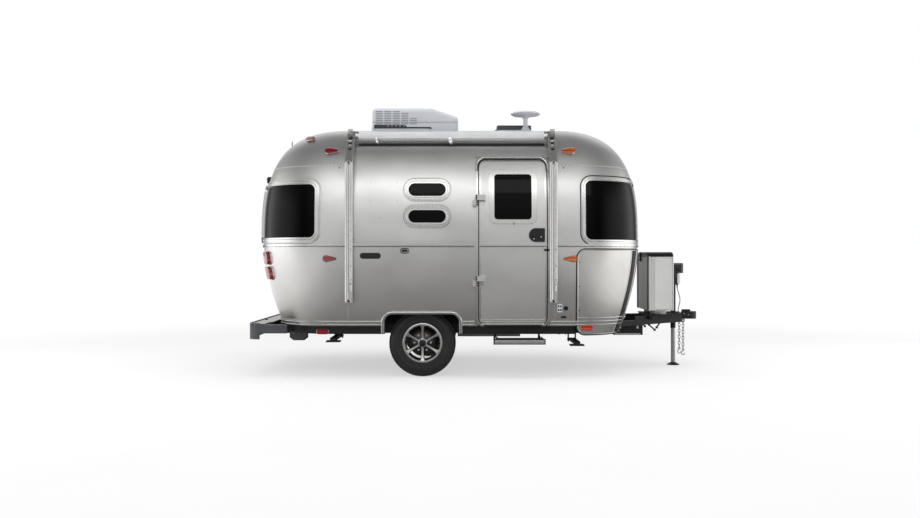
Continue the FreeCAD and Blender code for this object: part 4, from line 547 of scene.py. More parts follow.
class Shape:
    """Mesh that a piece is put together in; finish is the slot of what comes next."""

    def __init__(self):
        self.mesh = bmesh.new()
        self.finish = 0

    def add(self, places, faces):
        corners = [self.mesh.verts.new(p) for p in places]
        for face in faces:
            made = self.mesh.faces.new([corners[k] for k in face])
            made.material_index = self.finish

    def block(self, low, high):
        """Box between two opposite corners."""
        (x0, y0, z0), (x1, y1, z1) = low, high
        places = [(x, y, z) for z in (z0, z1) for x, y in ((x0, y0), (x1, y0), (x1, y1), (x0, y1))]
        self.add(places, [(0, 3, 2, 1), (4, 5, 6, 7), (0, 1, 5, 4), (1, 2, 6, 5), (2, 3, 7, 6),
                          (3, 0, 4, 7)])

    def prism(self, outline, axis, limits):
        """Prism of a flat outline along one axis; the outline's pairs keep the axes' order."""
        n = len(outline)
        places = []
        for limit in limits:
            for u, v in outline:
                places.append({"x": (limit, u, v), "y": (u, limit, v), "z": (u, v, limit)}[axis])
        faces = [tuple(range(n)), tuple(range(n, 2 * n))[::-1]]
        faces += [(k, (k + 1) % n, n + (k + 1) % n, n + k) for k in range(n)]
        self.add(places, faces)

    def turned(self, profile, centre, axis, steps=48, closed=False):
        """Turned form of (radius, along) pairs about an axis through a centre."""
        axis = Vector(axis).normalized()
        side = axis.orthogonal().normalized()
        other = axis.cross(side)
        places, rings = [], []
        for radius, along in profile:
            base = Vector(centre) + axis * along
            if radius < 1e-6:
                rings.append([len(places)])
                places.append(base)
                continue
            rings.append([len(places) + k for k in range(steps)])
            places += [base + (side * math.cos(2 * math.pi * k / steps)
                               + other * math.sin(2 * math.pi * k / steps)) * radius
                       for k in range(steps)]
        faces = []
        for a, b in zip(rings, rings[1:] + (rings[:1] if closed else [])):
            for k in range(steps):
                j = (k + 1) % steps
                if len(a) == 1 and len(b) > 1:
                    faces.append((a[0], b[j], b[k]))
                elif len(b) == 1 and len(a) > 1:
                    faces.append((a[k], a[j], b[0]))
                elif len(a) > 1:
                    faces.append((a[k], a[j], b[j], b[k]))
        if not closed:
            faces += [tuple(ring) for ring in (rings[0], rings[-1]) if len(ring) > 1]
        self.add(places, faces)

    def swept(self, path, faces_out, section, closed=False):
        """Strip of one section along a path; it stands one way, or each place's own way."""
        count, n = len(path), len(section)
        if isinstance(faces_out, tuple):
            faces_out = [Vector(faces_out)] * count
        places = []
        for k, (spot, out) in enumerate(zip(path, faces_out)):
            before = path[k - 1] if closed or k else spot
            after = path[(k + 1) % count] if closed or k + 1 < count else spot
            along = (after - before).normalized()
            up = (out - along * out.dot(along)).normalized()
            across = along.cross(up)
            places += [spot + across * a + up * b for a, b in section]
        faces = []
        for k in range(count if closed else count - 1):
            i, j = k * n, (k + 1) % count * n
            faces += [(i + m, i + (m + 1) % n, j + (m + 1) % n, j + m) for m in range(n)]
        if not closed:
            faces += [tuple(range(n))[::-1], tuple(range((count - 1) * n, count * n))]
        self.add(places, faces)

    def laid(self, line, section, out=0.0, closed=False):
        """Strip of one section along a line on the skin, moved out from it."""
        self.swept(out_by(line, out), facings(line), section, closed)

    def sheet(self, rows, thickness):
        """Thin sheet over a grid of places on the skin, standing on it by its thickness."""
        n = len(rows[0])
        grid = [p for row in rows for p in row]
        outer = [p + facing(p) * thickness for p in grid]
        inner = [p - facing(p) * 0.003 for p in grid]
        cells = [(i * n + j, i * n + j + 1, (i + 1) * n + j + 1, (i + 1) * n + j)
                 for i in range(len(rows) - 1) for j in range(n - 1)]
        total = len(grid)
        last = (len(rows) - 1) * n
        rim = [(j + row, j + row + 1) for row in (0, last) for j in range(n - 1)]
        rim += [(i * n + j, (i + 1) * n + j) for j in (0, n - 1) for i in range(len(rows) - 1)]
        self.add(outer + inner, cells + [tuple(k + total for k in c[::-1]) for c in cells]
                 + [(a, b, b + total, a + total) for a, b in rim])


def strip(width, height, sink=0.003, chamfer=0.35):
    """Section of a flat strip with eased edges."""
    w, c = width / 2, height * chamfer
    return [(-w, -sink), (w, -sink), (w, height - c), (w - c, height), (c - w, height),
            (-w, height - c)]


def half_round(width, height, sink=0.003, count=8):
    """Section of a rounded mould."""
    arch = [(width / 2 * math.cos(math.pi * k / count), height * math.sin(math.pi * k / count))
            for k in range(count + 1)]
    return [(-width / 2, -sink), (width / 2, -sink)] + arch


def button(radius, low, edge, crown, top):
    """Turned section of a disc with an eased rim: its radius at the rim and at the top, and heights."""
    return [(0.0, low), (radius, low), (radius, edge), (crown, top), (0.0, top)]


def place_piece(name, shape, finishes, body="caravan", sharp=35.0, edge=0.0,
                replaces=()):
    """Turn a finished mesh into a piece that rides on its body."""
    bmesh.ops.remove_doubles(shape.mesh, verts=shape.mesh.verts, dist=1e-6)
    bmesh.ops.recalc_face_normals(shape.mesh, faces=shape.mesh.faces)
    mesh = bpy.data.meshes.new(name)
    shape.mesh.to_mesh(mesh)
    shape.mesh.free()
    return settle(name, mesh, finishes, body, sharp, edge, replaces)


def settle(name, mesh, finishes, body="caravan", sharp=35.0, edge=0.0, replaces=()):
    """Give a mesh its finishes, soft edges and body, and hide the nodes it replaces."""
    for finish in finishes:
        mesh.materials.append(FINISHES[finish])
    for face in mesh.polygons:
        face.use_smooth = True
    mesh.set_sharp_from_angle(angle=math.radians(sharp))
    piece = bpy.data.objects.new(name, mesh)
    bpy.context.scene.collection.objects.link(piece)
    if edge:
        bevel = piece.modifiers.new("soft_edges", "BEVEL")
        bevel.width, bevel.segments, bevel.limit_method = edge, 2, "ANGLE"
        bevel.angle_limit = math.radians(40)
        bevel.harden_normals = False
    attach(piece, body)
    if replaces:
        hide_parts(*replaces)
    return piece


def softened(node, name, finishes, body, edge, sharp=35.0):
    """Copy of a CAD node with its corners merged and its edges eased, in place of the node."""
    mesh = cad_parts[node].data.copy()
    work = bmesh.new()
    work.from_mesh(mesh)
    bmesh.ops.remove_doubles(work, verts=work.verts, dist=2e-5)
    bmesh.ops.dissolve_limit(work, angle_limit=math.radians(1), verts=work.verts, edges=work.edges)
    work.to_mesh(mesh)
    work.free()
    mesh.materials.clear()
    mesh.name = name
    return settle(name, mesh, finishes, body, sharp, edge, (node,))


def strips(name, lines, section, finish=BRIGHT, body="caravan", out=0.0, closed=False):
    """Piece made of strips of one section along lines on the skin."""
    shape = Shape()
    for line in lines:
        shape.laid(line, section, out, closed)
    return place_piece(name, shape, [finish], body)


# Geometry Nodes for what repeats or follows a path

TREES = {}


def group(name, sockets):
    """Empty node tree with a geometry input and output and named inputs for its sizes."""
    tree = bpy.data.node_groups.new(name, "GeometryNodeTree")
    tree.interface.new_socket("Geometry", in_out="INPUT", socket_type="NodeSocketGeometry")
    for socket, kind, value in sockets:
        made = tree.interface.new_socket(socket, in_out="INPUT", socket_type=kind)
        if value is not None:
            made.default_value = value
    tree.interface.new_socket("Geometry", in_out="OUTPUT", socket_type="NodeSocketGeometry")
    TREES[name] = tree
    return tree, add(tree, "NodeGroupInput").outputs


def close_group(tree, geometry, material, smooth=True):
    """End of every tree: real geometry, smooth faces, finish."""
    real = add(tree, "GeometryNodeRealizeInstances", None, {"Geometry": geometry}).outputs[0]
    soft = add(tree, "GeometryNodeSetShadeSmooth", None, {"Geometry": real, "Shade Smooth": smooth})
    done = add(tree, "GeometryNodeSetMaterial", None, {"Geometry": soft.outputs[0], "Material": material})
    add(tree, "NodeGroupOutput", None, {"Geometry": done.outputs[0]})


def rivet_tree():
    """Round heads standing on points, each turned to the way its point faces."""
    tree, given = group("rivet_heads", [
        ("Head", "NodeSocketFloat", 0.0085), ("Height", "NodeSocketFloat", 0.35),
        ("Finish", "NodeSocketMaterial", None)])
    ball = add(tree, "GeometryNodeMeshUVSphere", None, {"Segments": 8, "Rings": 4, "Radius": 0.5})
    flat = add(tree, "ShaderNodeCombineXYZ", None, {0: 1.0, 1: 1.0, 2: given["Height"]})
    head = add(tree, "GeometryNodeTransform", None,
               {"Geometry": ball.outputs["Mesh"], "Scale": flat.outputs[0]})
    out = add(tree, "GeometryNodeInputNamedAttribute", {"data_type": "FLOAT_VECTOR"}, {"Name": "out"})
    turn = add(tree, "FunctionNodeAlignRotationToVector", {"axis": "Z"}, {"Vector": out.outputs[0]})
    spots = add(tree, "GeometryNodeInstanceOnPoints", None, {
        "Points": given["Geometry"], "Instance": head.outputs[0], "Rotation": turn.outputs[0],
        "Scale": given["Head"]})
    close_group(tree, spots.outputs[0], given["Finish"])


def bead_tree():
    """Round bar along the edges of the mesh."""
    tree, given = group("round_bead", [
        ("Radius", "NodeSocketFloat", 0.005), ("Sides", "NodeSocketInt", 8),
        ("Finish", "NodeSocketMaterial", None)])
    line = add(tree, "GeometryNodeMeshToCurve", None, {"Mesh": given["Geometry"]})
    ring = add(tree, "GeometryNodeCurvePrimitiveCircle", None,
               {"Resolution": given["Sides"], "Radius": given["Radius"]})
    bar = add(tree, "GeometryNodeCurveToMesh", None,
              {"Curve": line.outputs[0], "Profile Curve": ring.outputs[0], "Fill Caps": True})
    close_group(tree, bar.outputs[0], given["Finish"])


def block_tree():
    """Rounded block at each point, its height turned to the way the point faces."""
    tree, given = group("blocks_on_points", [
        ("Length", "NodeSocketFloat", 0.03), ("Width", "NodeSocketFloat", 0.03),
        ("Height", "NodeSocketFloat", 0.008), ("Finish", "NodeSocketMaterial", None)])
    size = add(tree, "ShaderNodeCombineXYZ", None,
               {0: given["Length"], 1: given["Width"], 2: given["Height"]})
    cube = add(tree, "GeometryNodeMeshCube", None, {"Size": size.outputs[0]})
    out = add(tree, "GeometryNodeInputNamedAttribute", {"data_type": "FLOAT_VECTOR"}, {"Name": "out"})
    along = add(tree, "GeometryNodeInputNamedAttribute", {"data_type": "FLOAT_VECTOR"}, {"Name": "along"})
    up = add(tree, "FunctionNodeAlignRotationToVector", {"axis": "Z"}, {"Vector": out.outputs[0]})
    turn = add(tree, "FunctionNodeAlignRotationToVector", {"axis": "X", "pivot_axis": "Z"},
               {"Rotation": up.outputs[0], "Vector": along.outputs[0]})
    spots = add(tree, "GeometryNodeInstanceOnPoints", None, {
        "Points": given["Geometry"], "Instance": cube.outputs["Mesh"], "Rotation": turn.outputs[0]})
    close_group(tree, spots.outputs[0], given["Finish"], False)


def chain_tree():
    """Links of round wire at the points of a line, every other one turned a quarter."""
    tree, given = group("chain_links", [
        ("Wire", "NodeSocketFloat", 0.008), ("Half width", "NodeSocketFloat", 0.011),
        ("Half length", "NodeSocketFloat", 0.022), ("Finish", "NodeSocketMaterial", None)])
    frame_line = add(tree, "GeometryNodeCurvePrimitiveQuadrilateral", None,
                     {"Width": result_of(tree, "MULTIPLY", given["Half width"], 2.0),
                      "Height": result_of(tree, "MULTIPLY", given["Half length"], 2.0)})
    bend = add(tree, "GeometryNodeFilletCurve", {"mode": "POLY"},
               {"Curve": frame_line.outputs[0], "Radius": given["Half width"], "Limit Radius": True,
                "Count": 5})
    stand = add(tree, "GeometryNodeTransform", None,
                {"Geometry": bend.outputs[0], "Rotation": (math.pi / 2, 0.0, 0.0)})
    ring = add(tree, "GeometryNodeCurvePrimitiveCircle", None,
               {"Resolution": 8, "Radius": result_of(tree, "MULTIPLY", given["Wire"], 0.5)})
    link = add(tree, "GeometryNodeCurveToMesh", None,
               {"Curve": stand.outputs[0], "Profile Curve": ring.outputs[0]})
    turned = add(tree, "GeometryNodeInputNamedAttribute", {"data_type": "FLOAT"}, {"Name": "turned"})
    quarter = result_of(tree, "MULTIPLY", turned.outputs[0], math.pi / 2)
    angle = add(tree, "ShaderNodeCombineXYZ", None, {2: quarter})
    rotation = add(tree, "FunctionNodeEulerToRotation", None, {0: angle.outputs[0]})
    spots = add(tree, "GeometryNodeInstanceOnPoints", None, {
        "Points": given["Geometry"], "Instance": link.outputs[0], "Rotation": rotation.outputs[0]})
    close_group(tree, spots.outputs[0], given["Finish"])


def grown(name, mesh, tree_name, values, finish):
    """Plain mesh that a tree makes out of a mesh of points or edges."""
    if not TREES:
        for plant in (rivet_tree, bead_tree, block_tree, chain_tree):
            plant()
    tree = TREES[tree_name]
    holder = bpy.data.objects.new(name + "_guide", mesh)
    bpy.context.scene.collection.objects.link(holder)
    modifier = holder.modifiers.new("pattern", "NODES")
    modifier.node_group = tree
    keys = {item.name: item.identifier for item in tree.interface.items_tree
            if item.item_type == "SOCKET" and item.in_out == "INPUT"}
    for socket, value in values.items():
        modifier[keys[socket]] = value
    modifier[keys["Finish"]] = FINISHES[finish]
    result = bpy.data.meshes.new_from_object(
        holder.evaluated_get(bpy.context.evaluated_depsgraph_get()))
    holder.modifiers.clear()
    bpy.data.objects.remove(holder)
    if not result.polygons:
        raise RuntimeError(name + ": its pattern came out empty")
    result.materials.clear()
    if "out" in result.attributes:
        result.attributes.remove(result.attributes["out"])
    return result


def point_mesh(name, spots, fields):
    """Mesh of loose points with fields: a value for each point, or one direction for all."""
    mesh = bpy.data.meshes.new(name)
    mesh.from_pydata([tuple(s) for s in spots], [], [])
    for field, values in fields.items():
        if isinstance(values, tuple):
            values = [Vector(values)] * len(spots)
        if isinstance(values[0], Vector):
            made = mesh.attributes.new(field, "FLOAT_VECTOR", "POINT")
            made.data.foreach_set("vector", [c for v in values for c in v])
        else:
            made = mesh.attributes.new(field, "FLOAT", "POINT")
            made.data.foreach_set("value", [float(v) for v in values])
    return mesh


def rivets(name, spots, faces_out, finish=BRIGHT, body="caravan",
           head=None, height=0.4):
    """Rivet or screw heads on a body, made by the rivet tree."""
    mesh = point_mesh(name, spots, {"out": faces_out})
    made = grown(name, mesh, "rivet_heads", {"Head": head or sizes().rivet_head, "Height": height}, finish)
    return settle(name, made, [finish], body, 80.0)


def beads(name, lines, radius, finish, body="caravan", sides=8):
    """Round bars along lines given as (places, closed) pairs, made by the bead tree."""
    mesh = bpy.data.meshes.new(name)
    places, edges = [], []
    for line, closed in lines:
        start, count = len(places), len(line)
        places += [tuple(p) for p in line]
        edges += [(start + k, start + k + 1) for k in range(count - 1)]
        if closed:
            edges.append((start + count - 1, start))
    mesh.from_pydata(places, edges, [])
    made = grown(name, mesh, "round_bead", {"Radius": radius, "Sides": sides}, finish)
    return settle(name, made, [finish], body, 60.0)


def blocks(name, spots, out, along, size, finish, body="caravan"):
    """Small blocks at points, made by the block tree."""
    mesh = point_mesh(name, spots, {"out": out, "along": along})
    made = grown(name, mesh, "blocks_on_points",
                 {"Length": size[0], "Width": size[1], "Height": size[2]}, finish)
    return settle(name, made, [finish], body, 30.0)


def along_line(line, pitch, inset=0.0):
    """Places a pitch apart along a line of places."""
    found, gap = [], inset
    for a, b in zip(line, line[1:]):
        length = (b - a).length
        while gap <= length:
            found.append(a.lerp(b, gap / length) if length else a)
            gap += pitch
        gap -= length
    return found


# The pieces

class CARAVAN_OT_finishes(bpy.types.Operator):
    """Gives every solid of the frame its own finish"""
    bl_idname = "caravan.finishes"
    bl_label = "Finishes"

    def execute(self, context):
        make_finishes()
        for finish, nodes in NODE_FINISHES.items():
            for node in nodes:
                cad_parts[node].data.materials.clear()
                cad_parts[node].data.materials.append(FINISHES[finish])
        return {"FINISHED"}


class CARAVAN_OT_jack_lead(bpy.types.Operator):
    """Lead of the powered jack: out of the head, behind the tube and into the drawbar"""
    bl_idname = "caravan.jack_lead"
    bl_label = "Jack lead"

    def execute(self, context):
        spots = ((2.258, -0.040, 0.934), (2.258, -0.040, 0.884), (2.276, -0.052, 0.830),
                 (2.286, -0.070, 0.772), (2.276, -0.082, 0.714), (2.258, -0.086, 0.660),
                 (2.258, -0.086, 0.611))
        thickness, length = 0.009, 0.334
        curve = bpy.data.curves.new("jack_power_lead", "CURVE")
        curve.dimensions = "3D"
        curve.bevel_depth, curve.bevel_resolution = thickness / 2, 4
        line = curve.splines.new("NURBS")
        line.points.add(len(spots) - 1)
        for point, spot in zip(line.points, spots):
            point.co = (*spot, 1.0)
        line.order_u = 3
        line.use_endpoint_u = True
        line.resolution_u = 12
        curve.use_fill_caps = True
        curve.materials.append(FINISHES["grey_lead_sheath"])
        lead = bpy.data.objects.new("jack_power_lead", curve)
        context.scene.collection.objects.link(lead)
        relief = Shape()
        relief.turned([(0.0, 0.004), (0.0085, 0.004), (0.0085, -0.004), (0.0078, -0.010), (0.0082, -0.012),
                       (0.0070, -0.018), (0.0074, -0.020), (0.0062, -0.026), (0.0066, -0.028),
                       (0.0052, -0.036), (0.0, -0.036)], spots[0], (0, 0, 1), 20)
        sleeve = place_piece("jack_lead_relief", relief, [RUBBER])
        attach(lead, "caravan")
        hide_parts("jack_lead")
        return {"FINISHED"}


def turn_of(z, x=None, y=None):
    """Turn round an end, in degrees, where the skin has that x or that y."""
    if y is None:
        reach = min(share_of(x, z), 1.0)
        across = (1 - reach ** PLAN_POWER) ** (1 / PLAN_POWER)
    else:
        across = abs(y) / level(z)[0]
        reach = (1 - across ** PLAN_POWER) ** (1 / PLAN_POWER)
    return math.degrees(math.atan2(across, reach))


def run_round(way, z, first, last, step=3.0):
    """Places along a level line round an end between two turns."""
    count = max(2, math.ceil(abs(last - first) / step))
    return [round_end(turn, z, way) for turn in even(first, last, count)]


def run_along(side, z, first, last, count):
    """Places along a level line on a side wall between two x."""
    return [beside(x, z, side) for x in even(first, last, count)]


def wrap_loop(way, x, low, high, radius, grow=0.0):
    """Outline round a whole end window, from the curb side's front edge to the street side's."""
    x, low, high, radius = x - way * grow, low - grow, high + grow, radius + grow
    inner = x + way * radius
    loop = []
    for z, corner in ((low, low + radius), (high, high - radius)):
        turn = turn_of(z, x=inner)
        ends = {}
        for side in (CURB, STREET):
            spots = []
            for k in range(7):
                a = math.radians(90 * k / 6)
                u = inner - way * radius * math.cos(a)
                v = corner + (radius * math.sin(a)) * (-1 if z == low else 1)
                spots.append(beside(u, v, side))
            ends[side] = spots
        run = run_round(way, z, -turn, turn)[1:-1]
        if z == low:
            loop += ends[CURB] + run + ends[STREET][::-1]
            loop += [beside(x, low + radius + (high - low - 2 * radius) * k / 8, STREET)
                     for k in range(1, 8)]
        else:
            loop += ends[STREET] + run[::-1] + ends[CURB][::-1]
            loop += [beside(x, high - radius - (high - low - 2 * radius) * k / 8, CURB)
                     for k in range(1, 8)]
    return loop


def corner_pane(way, side, x, post, low, high, radius, post_radius=0.040):
    """Outline of the pane between a side wall and a post of an end window."""
    inner, beyond = x + way * radius, post + post_radius
    loop = []
    for z, sign in ((low, -1), (high, 1)):
        spots = []
        for k in range(7):
            a = math.radians(90 * k / 6)
            spots.append(beside(inner - way * radius * math.cos(a),
                                z - sign * radius + sign * radius * math.sin(a), side))
        run = run_round(way, z, side * turn_of(z, x=inner), side * turn_of(z, y=beyond))[1:-1]
        turned = []
        for k in range(7):
            a = math.radians(90 * k / 6)
            turned.append(at_end(side * (beyond - post_radius * math.sin(a)),
                                 z - sign * post_radius + sign * post_radius * math.cos(a), way))
        part = spots + run + turned
        loop += part if z == low else part[::-1]
    return spread(loop, 0.05, True)


def out_by(line, distance):
    """The same places moved off the skin."""
    return [p + facing(p) * distance for p in line]


class CARAVAN_OT_sheet_seams(bpy.types.Operator):
    """Laps where the end caps meet the walls and where the cap sheets meet, with their rivets"""
    bl_idname = "caravan.sheet_seams"
    bl_label = "Sheet seams"

    def execute(self, context):
        cap_lap_z, dome_pitch = 2.213, 0.036
        laps, heads, outs, dome_heads, dome_outs = Shape(), [], [], [], []
        for x in (REAR_SEAM, FRONT_SEAM):
            height = [0.600 + 0.06 * k for k in range(34)]
            up = [beside(x, z, CURB) for z in height if z < 2.62]
            over = [over_roof(x, y) for y in (-0.30, -0.15, 0.0, 0.15, 0.30)]
            down = [beside(x, z, STREET) for z in reversed(height) if z < 2.62]
            line = up + over + down
            laps.laid(line, strip(sizes().lap_width, sizes().lap_height))
            for shift in (-0.007, 0.007):
                side = [p + Vector((shift, 0, 0)) for p in line]
                spots = along_line(side, sizes().rivet_pitch, 0.01 + (shift > 0) * sizes().rivet_pitch / 2)
                heads += out_by(spots, sizes().lap_height)
                outs += facings(spots)
        for way in (REAR, FRONT):
            line = [round_end(t, cap_lap_z, way) for t in range(-88, 89, 4)]
            laps.laid(line, strip(0.020, sizes().lap_height))
            spots = along_line(line, dome_pitch, 0.02)
            dome_heads += out_by(spots, sizes().lap_height)
            dome_outs += facings(spots)
        place_piece("sheet_laps", laps, ["clear_coated_aluminium_sheet"])
        rivets("sheet_rivets", heads, outs)
        rivets("dome_rivets", dome_heads, dome_outs, head=0.015)
        return {"FINISHED"}


class CARAVAN_OT_wall_screws(bpy.types.Operator):
    """Lone screws of the entrance side, and plugs on the end caps"""
    bl_idname = "caravan.wall_screws"
    bl_label = "Wall screws"

    def execute(self, context):
        pairs_x, pairs_z = (-1.196, -0.920), (2.031, 1.834)
        lone = ((-0.920, 0.988), (-1.137, 0.834), (-0.675, 0.834), (-0.190, 1.258), (-0.195, 0.992),
                (-1.090, 1.66))
        spots = [beside(x, z, CURB) for x in pairs_x for z in pairs_z]
        spots += on_side(lone, CURB)
        rivets("wall_screws", spots, facings(spots), ZINC,
               head=0.011)
        plugs = [round_end(side * 84, 2.185, way) for way in (REAR, FRONT) for side in (-1, 1)]
        rivets("cap_plugs", plugs, facings(plugs), BLACK,
               head=0.017, height=0.5)
        return {"FINISHED"}


class CARAVAN_OT_end_windows(bpy.types.Operator):
    """Seals, raised lips and rivets of the wrap-round windows"""
    bl_idname = "caravan.end_windows"
    bl_label = "End windows"

    def execute(self, context):
        radius, frame_out = 0.080, 0.012
        windows = ((REAR, -1.761, 1.443, 2.026, 0.490, 0.045), (FRONT, 1.018, 1.420, 2.065, 0.470, 0.036))
        seals, lips, rings, heads, outs = [], [], [], [], []
        for way, x, low, high, post, width in windows:
            for side in (CURB, STREET):
                pane = corner_pane(way, side, x + way * 0.003, post + 0.033, low + 0.003, high - 0.003,
                                   radius - 0.003)
                seals.append((out_by(pane, 0.001), True))
            middle = rounded((-post + 0.033, post - 0.033), (low + 0.003, high - 0.003), 0.04)
            seals.append((out_by(on_end(middle, way), 0.001), True))
            lips.append((out_by(wrap_loop(way, x, low, high, radius, 0.006), frame_out), True))
            rings.append((out_by(wrap_loop(way, x, low, high, radius, width + 0.002), 0.002), True))
            if way == REAR:
                line = wrap_loop(way, x, low, high, radius, 0.030)
                spots = along_line(line + line[:1], 0.034, 0.01)
                heads += out_by(spots, frame_out)
                outs += facings(spots)
        beads("end_window_seals", seals, sizes().gasket / 2, RUBBER)
        beads("end_window_lips", lips, 0.0045, BRIGHT)
        beads("rear_window_outer_bead", rings[:1], 0.004, BRIGHT)
        beads("front_window_outer_seal", rings[1:], 0.0055, RUBBER)
        rivets("rear_window_rivets", heads, outs, head=0.009)
        return {"FINISHED"}


class CARAVAN_OT_side_windows(bpy.types.Operator):
    """Seals, double rings of painted groove shade and rivets of the oval windows and of the galley window"""
    bl_idname = "caravan.side_windows"
    bl_label = "Side windows"

    def execute(self, context):
        frame_out = 0.012
        windows = [((-0.818, -0.403), (1.595, 1.754), 0.0795, CURB),
                   ((-0.818, -0.403), (1.872, 2.034), 0.081, CURB),
                   ((0.060, 0.620), (1.560, 2.010), 0.070, STREET)]
        seals, lips, grooves, heads, outs = [], [], [], [], []
        for x, z, radius, side in windows:
            # the two thin black rings round each frame are painted shade of its groove and of its outer edge
            for grow, out, store in ((-0.004, 0.001, seals), (0.006, frame_out, lips),
                                     (0.0215, frame_out - 0.0008, grooves), (0.0405, 0.0015, grooves)):
                line = on_side(rounded_by(x, z, radius, grow, 0.03, 9), side)
                store.append((out_by(line, out), True))
            line = on_side(rounded_by(x, z, radius, 0.031, 0.02, 9), side)
            spots = along_line(line + line[:1], 0.036, 0.01)
            heads += out_by(spots, frame_out)
            outs += facings(spots)
        beads("side_window_seals", seals, sizes().gasket / 2, RUBBER)
        beads("side_window_lips", lips, 0.004, BRIGHT)
        beads("side_window_groove_shade", grooves, 0.0016, RUBBER, sides=6)
        rivets("side_window_rivets", heads, outs, head=0.008)
        return {"FINISHED"}


class CARAVAN_OT_entrance_door(bpy.types.Operator):
    """Painted shade in the door's gap, edge strips of the door, its window flange, hinge leaves, catch and
    lock details
    """
    bl_idname = "caravan.entrance_door"
    bl_label = "Entrance door"

    def execute(self, context):
        x, z, radius = (-0.072, 0.629), (0.546, 2.272), 0.085
        # a black bead sunk in the gap round the door is painted shade of the gap
        line = on_side(rounded_by(x, z, radius, 0.005), CURB)
        beads("doorway_gap_shade", [(out_by(line, -0.004), True)], 0.0052, RUBBER)

        line = on_side(rounded_by(x, z, radius, -0.013), CURB)
        strips("door_edge_strip", [line], strip(0.022, 0.0022), body="door", closed=True)

        sill = Shape()
        for height, width in ((0.600, 0.012), (0.582, 0.008), (0.556, 0.016)):
            line = [beside(x[0] + 0.010 + 0.0685 * k, height, CURB) for k in range(11)]
            sill.laid(line, half_round(width, 0.006, -0.0005))
        place_piece("door_kick_strips", sill, [BRIGHT], "door")

        mould = sizes().door_mould
        left, right, foot, spring = -0.006, 0.549, 2.150, 2.195

        def arch(grow):
            outline = [(left - grow, foot), (left - grow, spring)]
            outline += arc(left, spring, grow, 180, -10, 10) + arc(right, spring, grow, 90, -10, 10)
            return on_side(spread(outline + [(right + grow, foot)], 0.06), CURB)

        strips("doorway_rain_mould", [arch(0.095)], half_round(mould, 0.015, 0.012, 10), out=0.012)
        beads("doorway_mould_seal", [(out_by(arch(0.077), 0.015), False)], 0.0042, RUBBER)

        line = on_side(rounded((0.035, 0.521), (1.604, 2.153), 0.062), CURB)
        strips("door_window_flange", [line], strip(0.018, 0.004), body="door", closed=True)
        line = on_side(rounded((0.075, 0.481), (1.632, 2.125), 0.032), CURB)
        beads("door_window_seal", [(out_by(line, 0.001), True)], sizes().gasket / 2,
              RUBBER, "door")
        spots = [beside(u, 1.655 + 0.0535 * k, CURB) for u in (0.037, 0.519) for k in range(8)]
        rivets("door_window_rivets", out_by(spots, 0.004), facings(spots), body="door",
               finish=ZINC, head=0.009)
        tick = beside(0.287, 1.600, CURB, 0.010)
        blocks("door_window_latch", [tick], [facing(tick)], (1, 0, 0), (0.007, 0.030, 0.012),
               BLACK, "door")

        leaves, screws, outs = Shape(), [], []
        for low, high in ((0.957, 1.051), (1.791, 1.890)):
            for part in range(2):
                z0 = low + (high - low) * part / 2 + 0.002
                z1 = z0 + (high - low) / 2 - 0.004
                line = [beside(u, (z0 + z1) / 2, CURB) for u in (-0.070, -0.045, -0.020)]
                leaves.laid(line, strip(z1 - z0, 0.0055))
                for u in (-0.055, -0.032):
                    spot = beside(u, (z0 + z1) / 2, CURB)
                    screws.append(spot + facing(spot) * 0.0055)
                    outs.append(facing(spot))
        place_piece("door_hinge_leaves", leaves, [BRIGHT], "door", edge=0.0012)
        rivets("door_hinge_screws", screws, outs, ZINC, "door", head=0.010)
        knuckles = Shape()
        for low, high in ((0.950, 1.058), (1.784, 1.897)):
            for k in range(5):
                z0 = low + (high - low) * k / 5 + 0.0015
                z1 = low + (high - low) * (k + 1) / 5 - 0.0015
                knuckles.turned([(0.0112, z0), (0.0125, z0 + 0.002), (0.0125, z1 - 0.002), (0.0112, z1)],
                                (-0.097, -1.250, 0.0), (0, 0, 1), 20)
        place_piece("door_hinge_knuckles", knuckles, [BLACK])

        catch = Shape()
        for low, high in ((0.600, 0.627), (0.636, 0.655)):
            spot = beside((low + high) / 2, 1.326, CURB)
            catch.block((low, spot.y - 0.030, 1.315), (high, spot.y - 0.008, 1.337))
        place_piece("door_catch", catch, [BLACK], edge=0.003)

        softened("door_handle", "door_handle_case", [BLACK], "door",
                 0.0035)
        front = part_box("door_handle")[0][1]
        locks = Shape()
        for u, v in ((0.4927, 1.4408), (0.569, 1.4615)):
            locks.turned(button(0.0075, -0.003, 0.0015, 0.0060, 0.0028), (u, front, v), (0, -1, 0), 24)
        place_piece("door_key_cylinders", locks, [BRIGHT], "door")
        return {"FINISHED"}


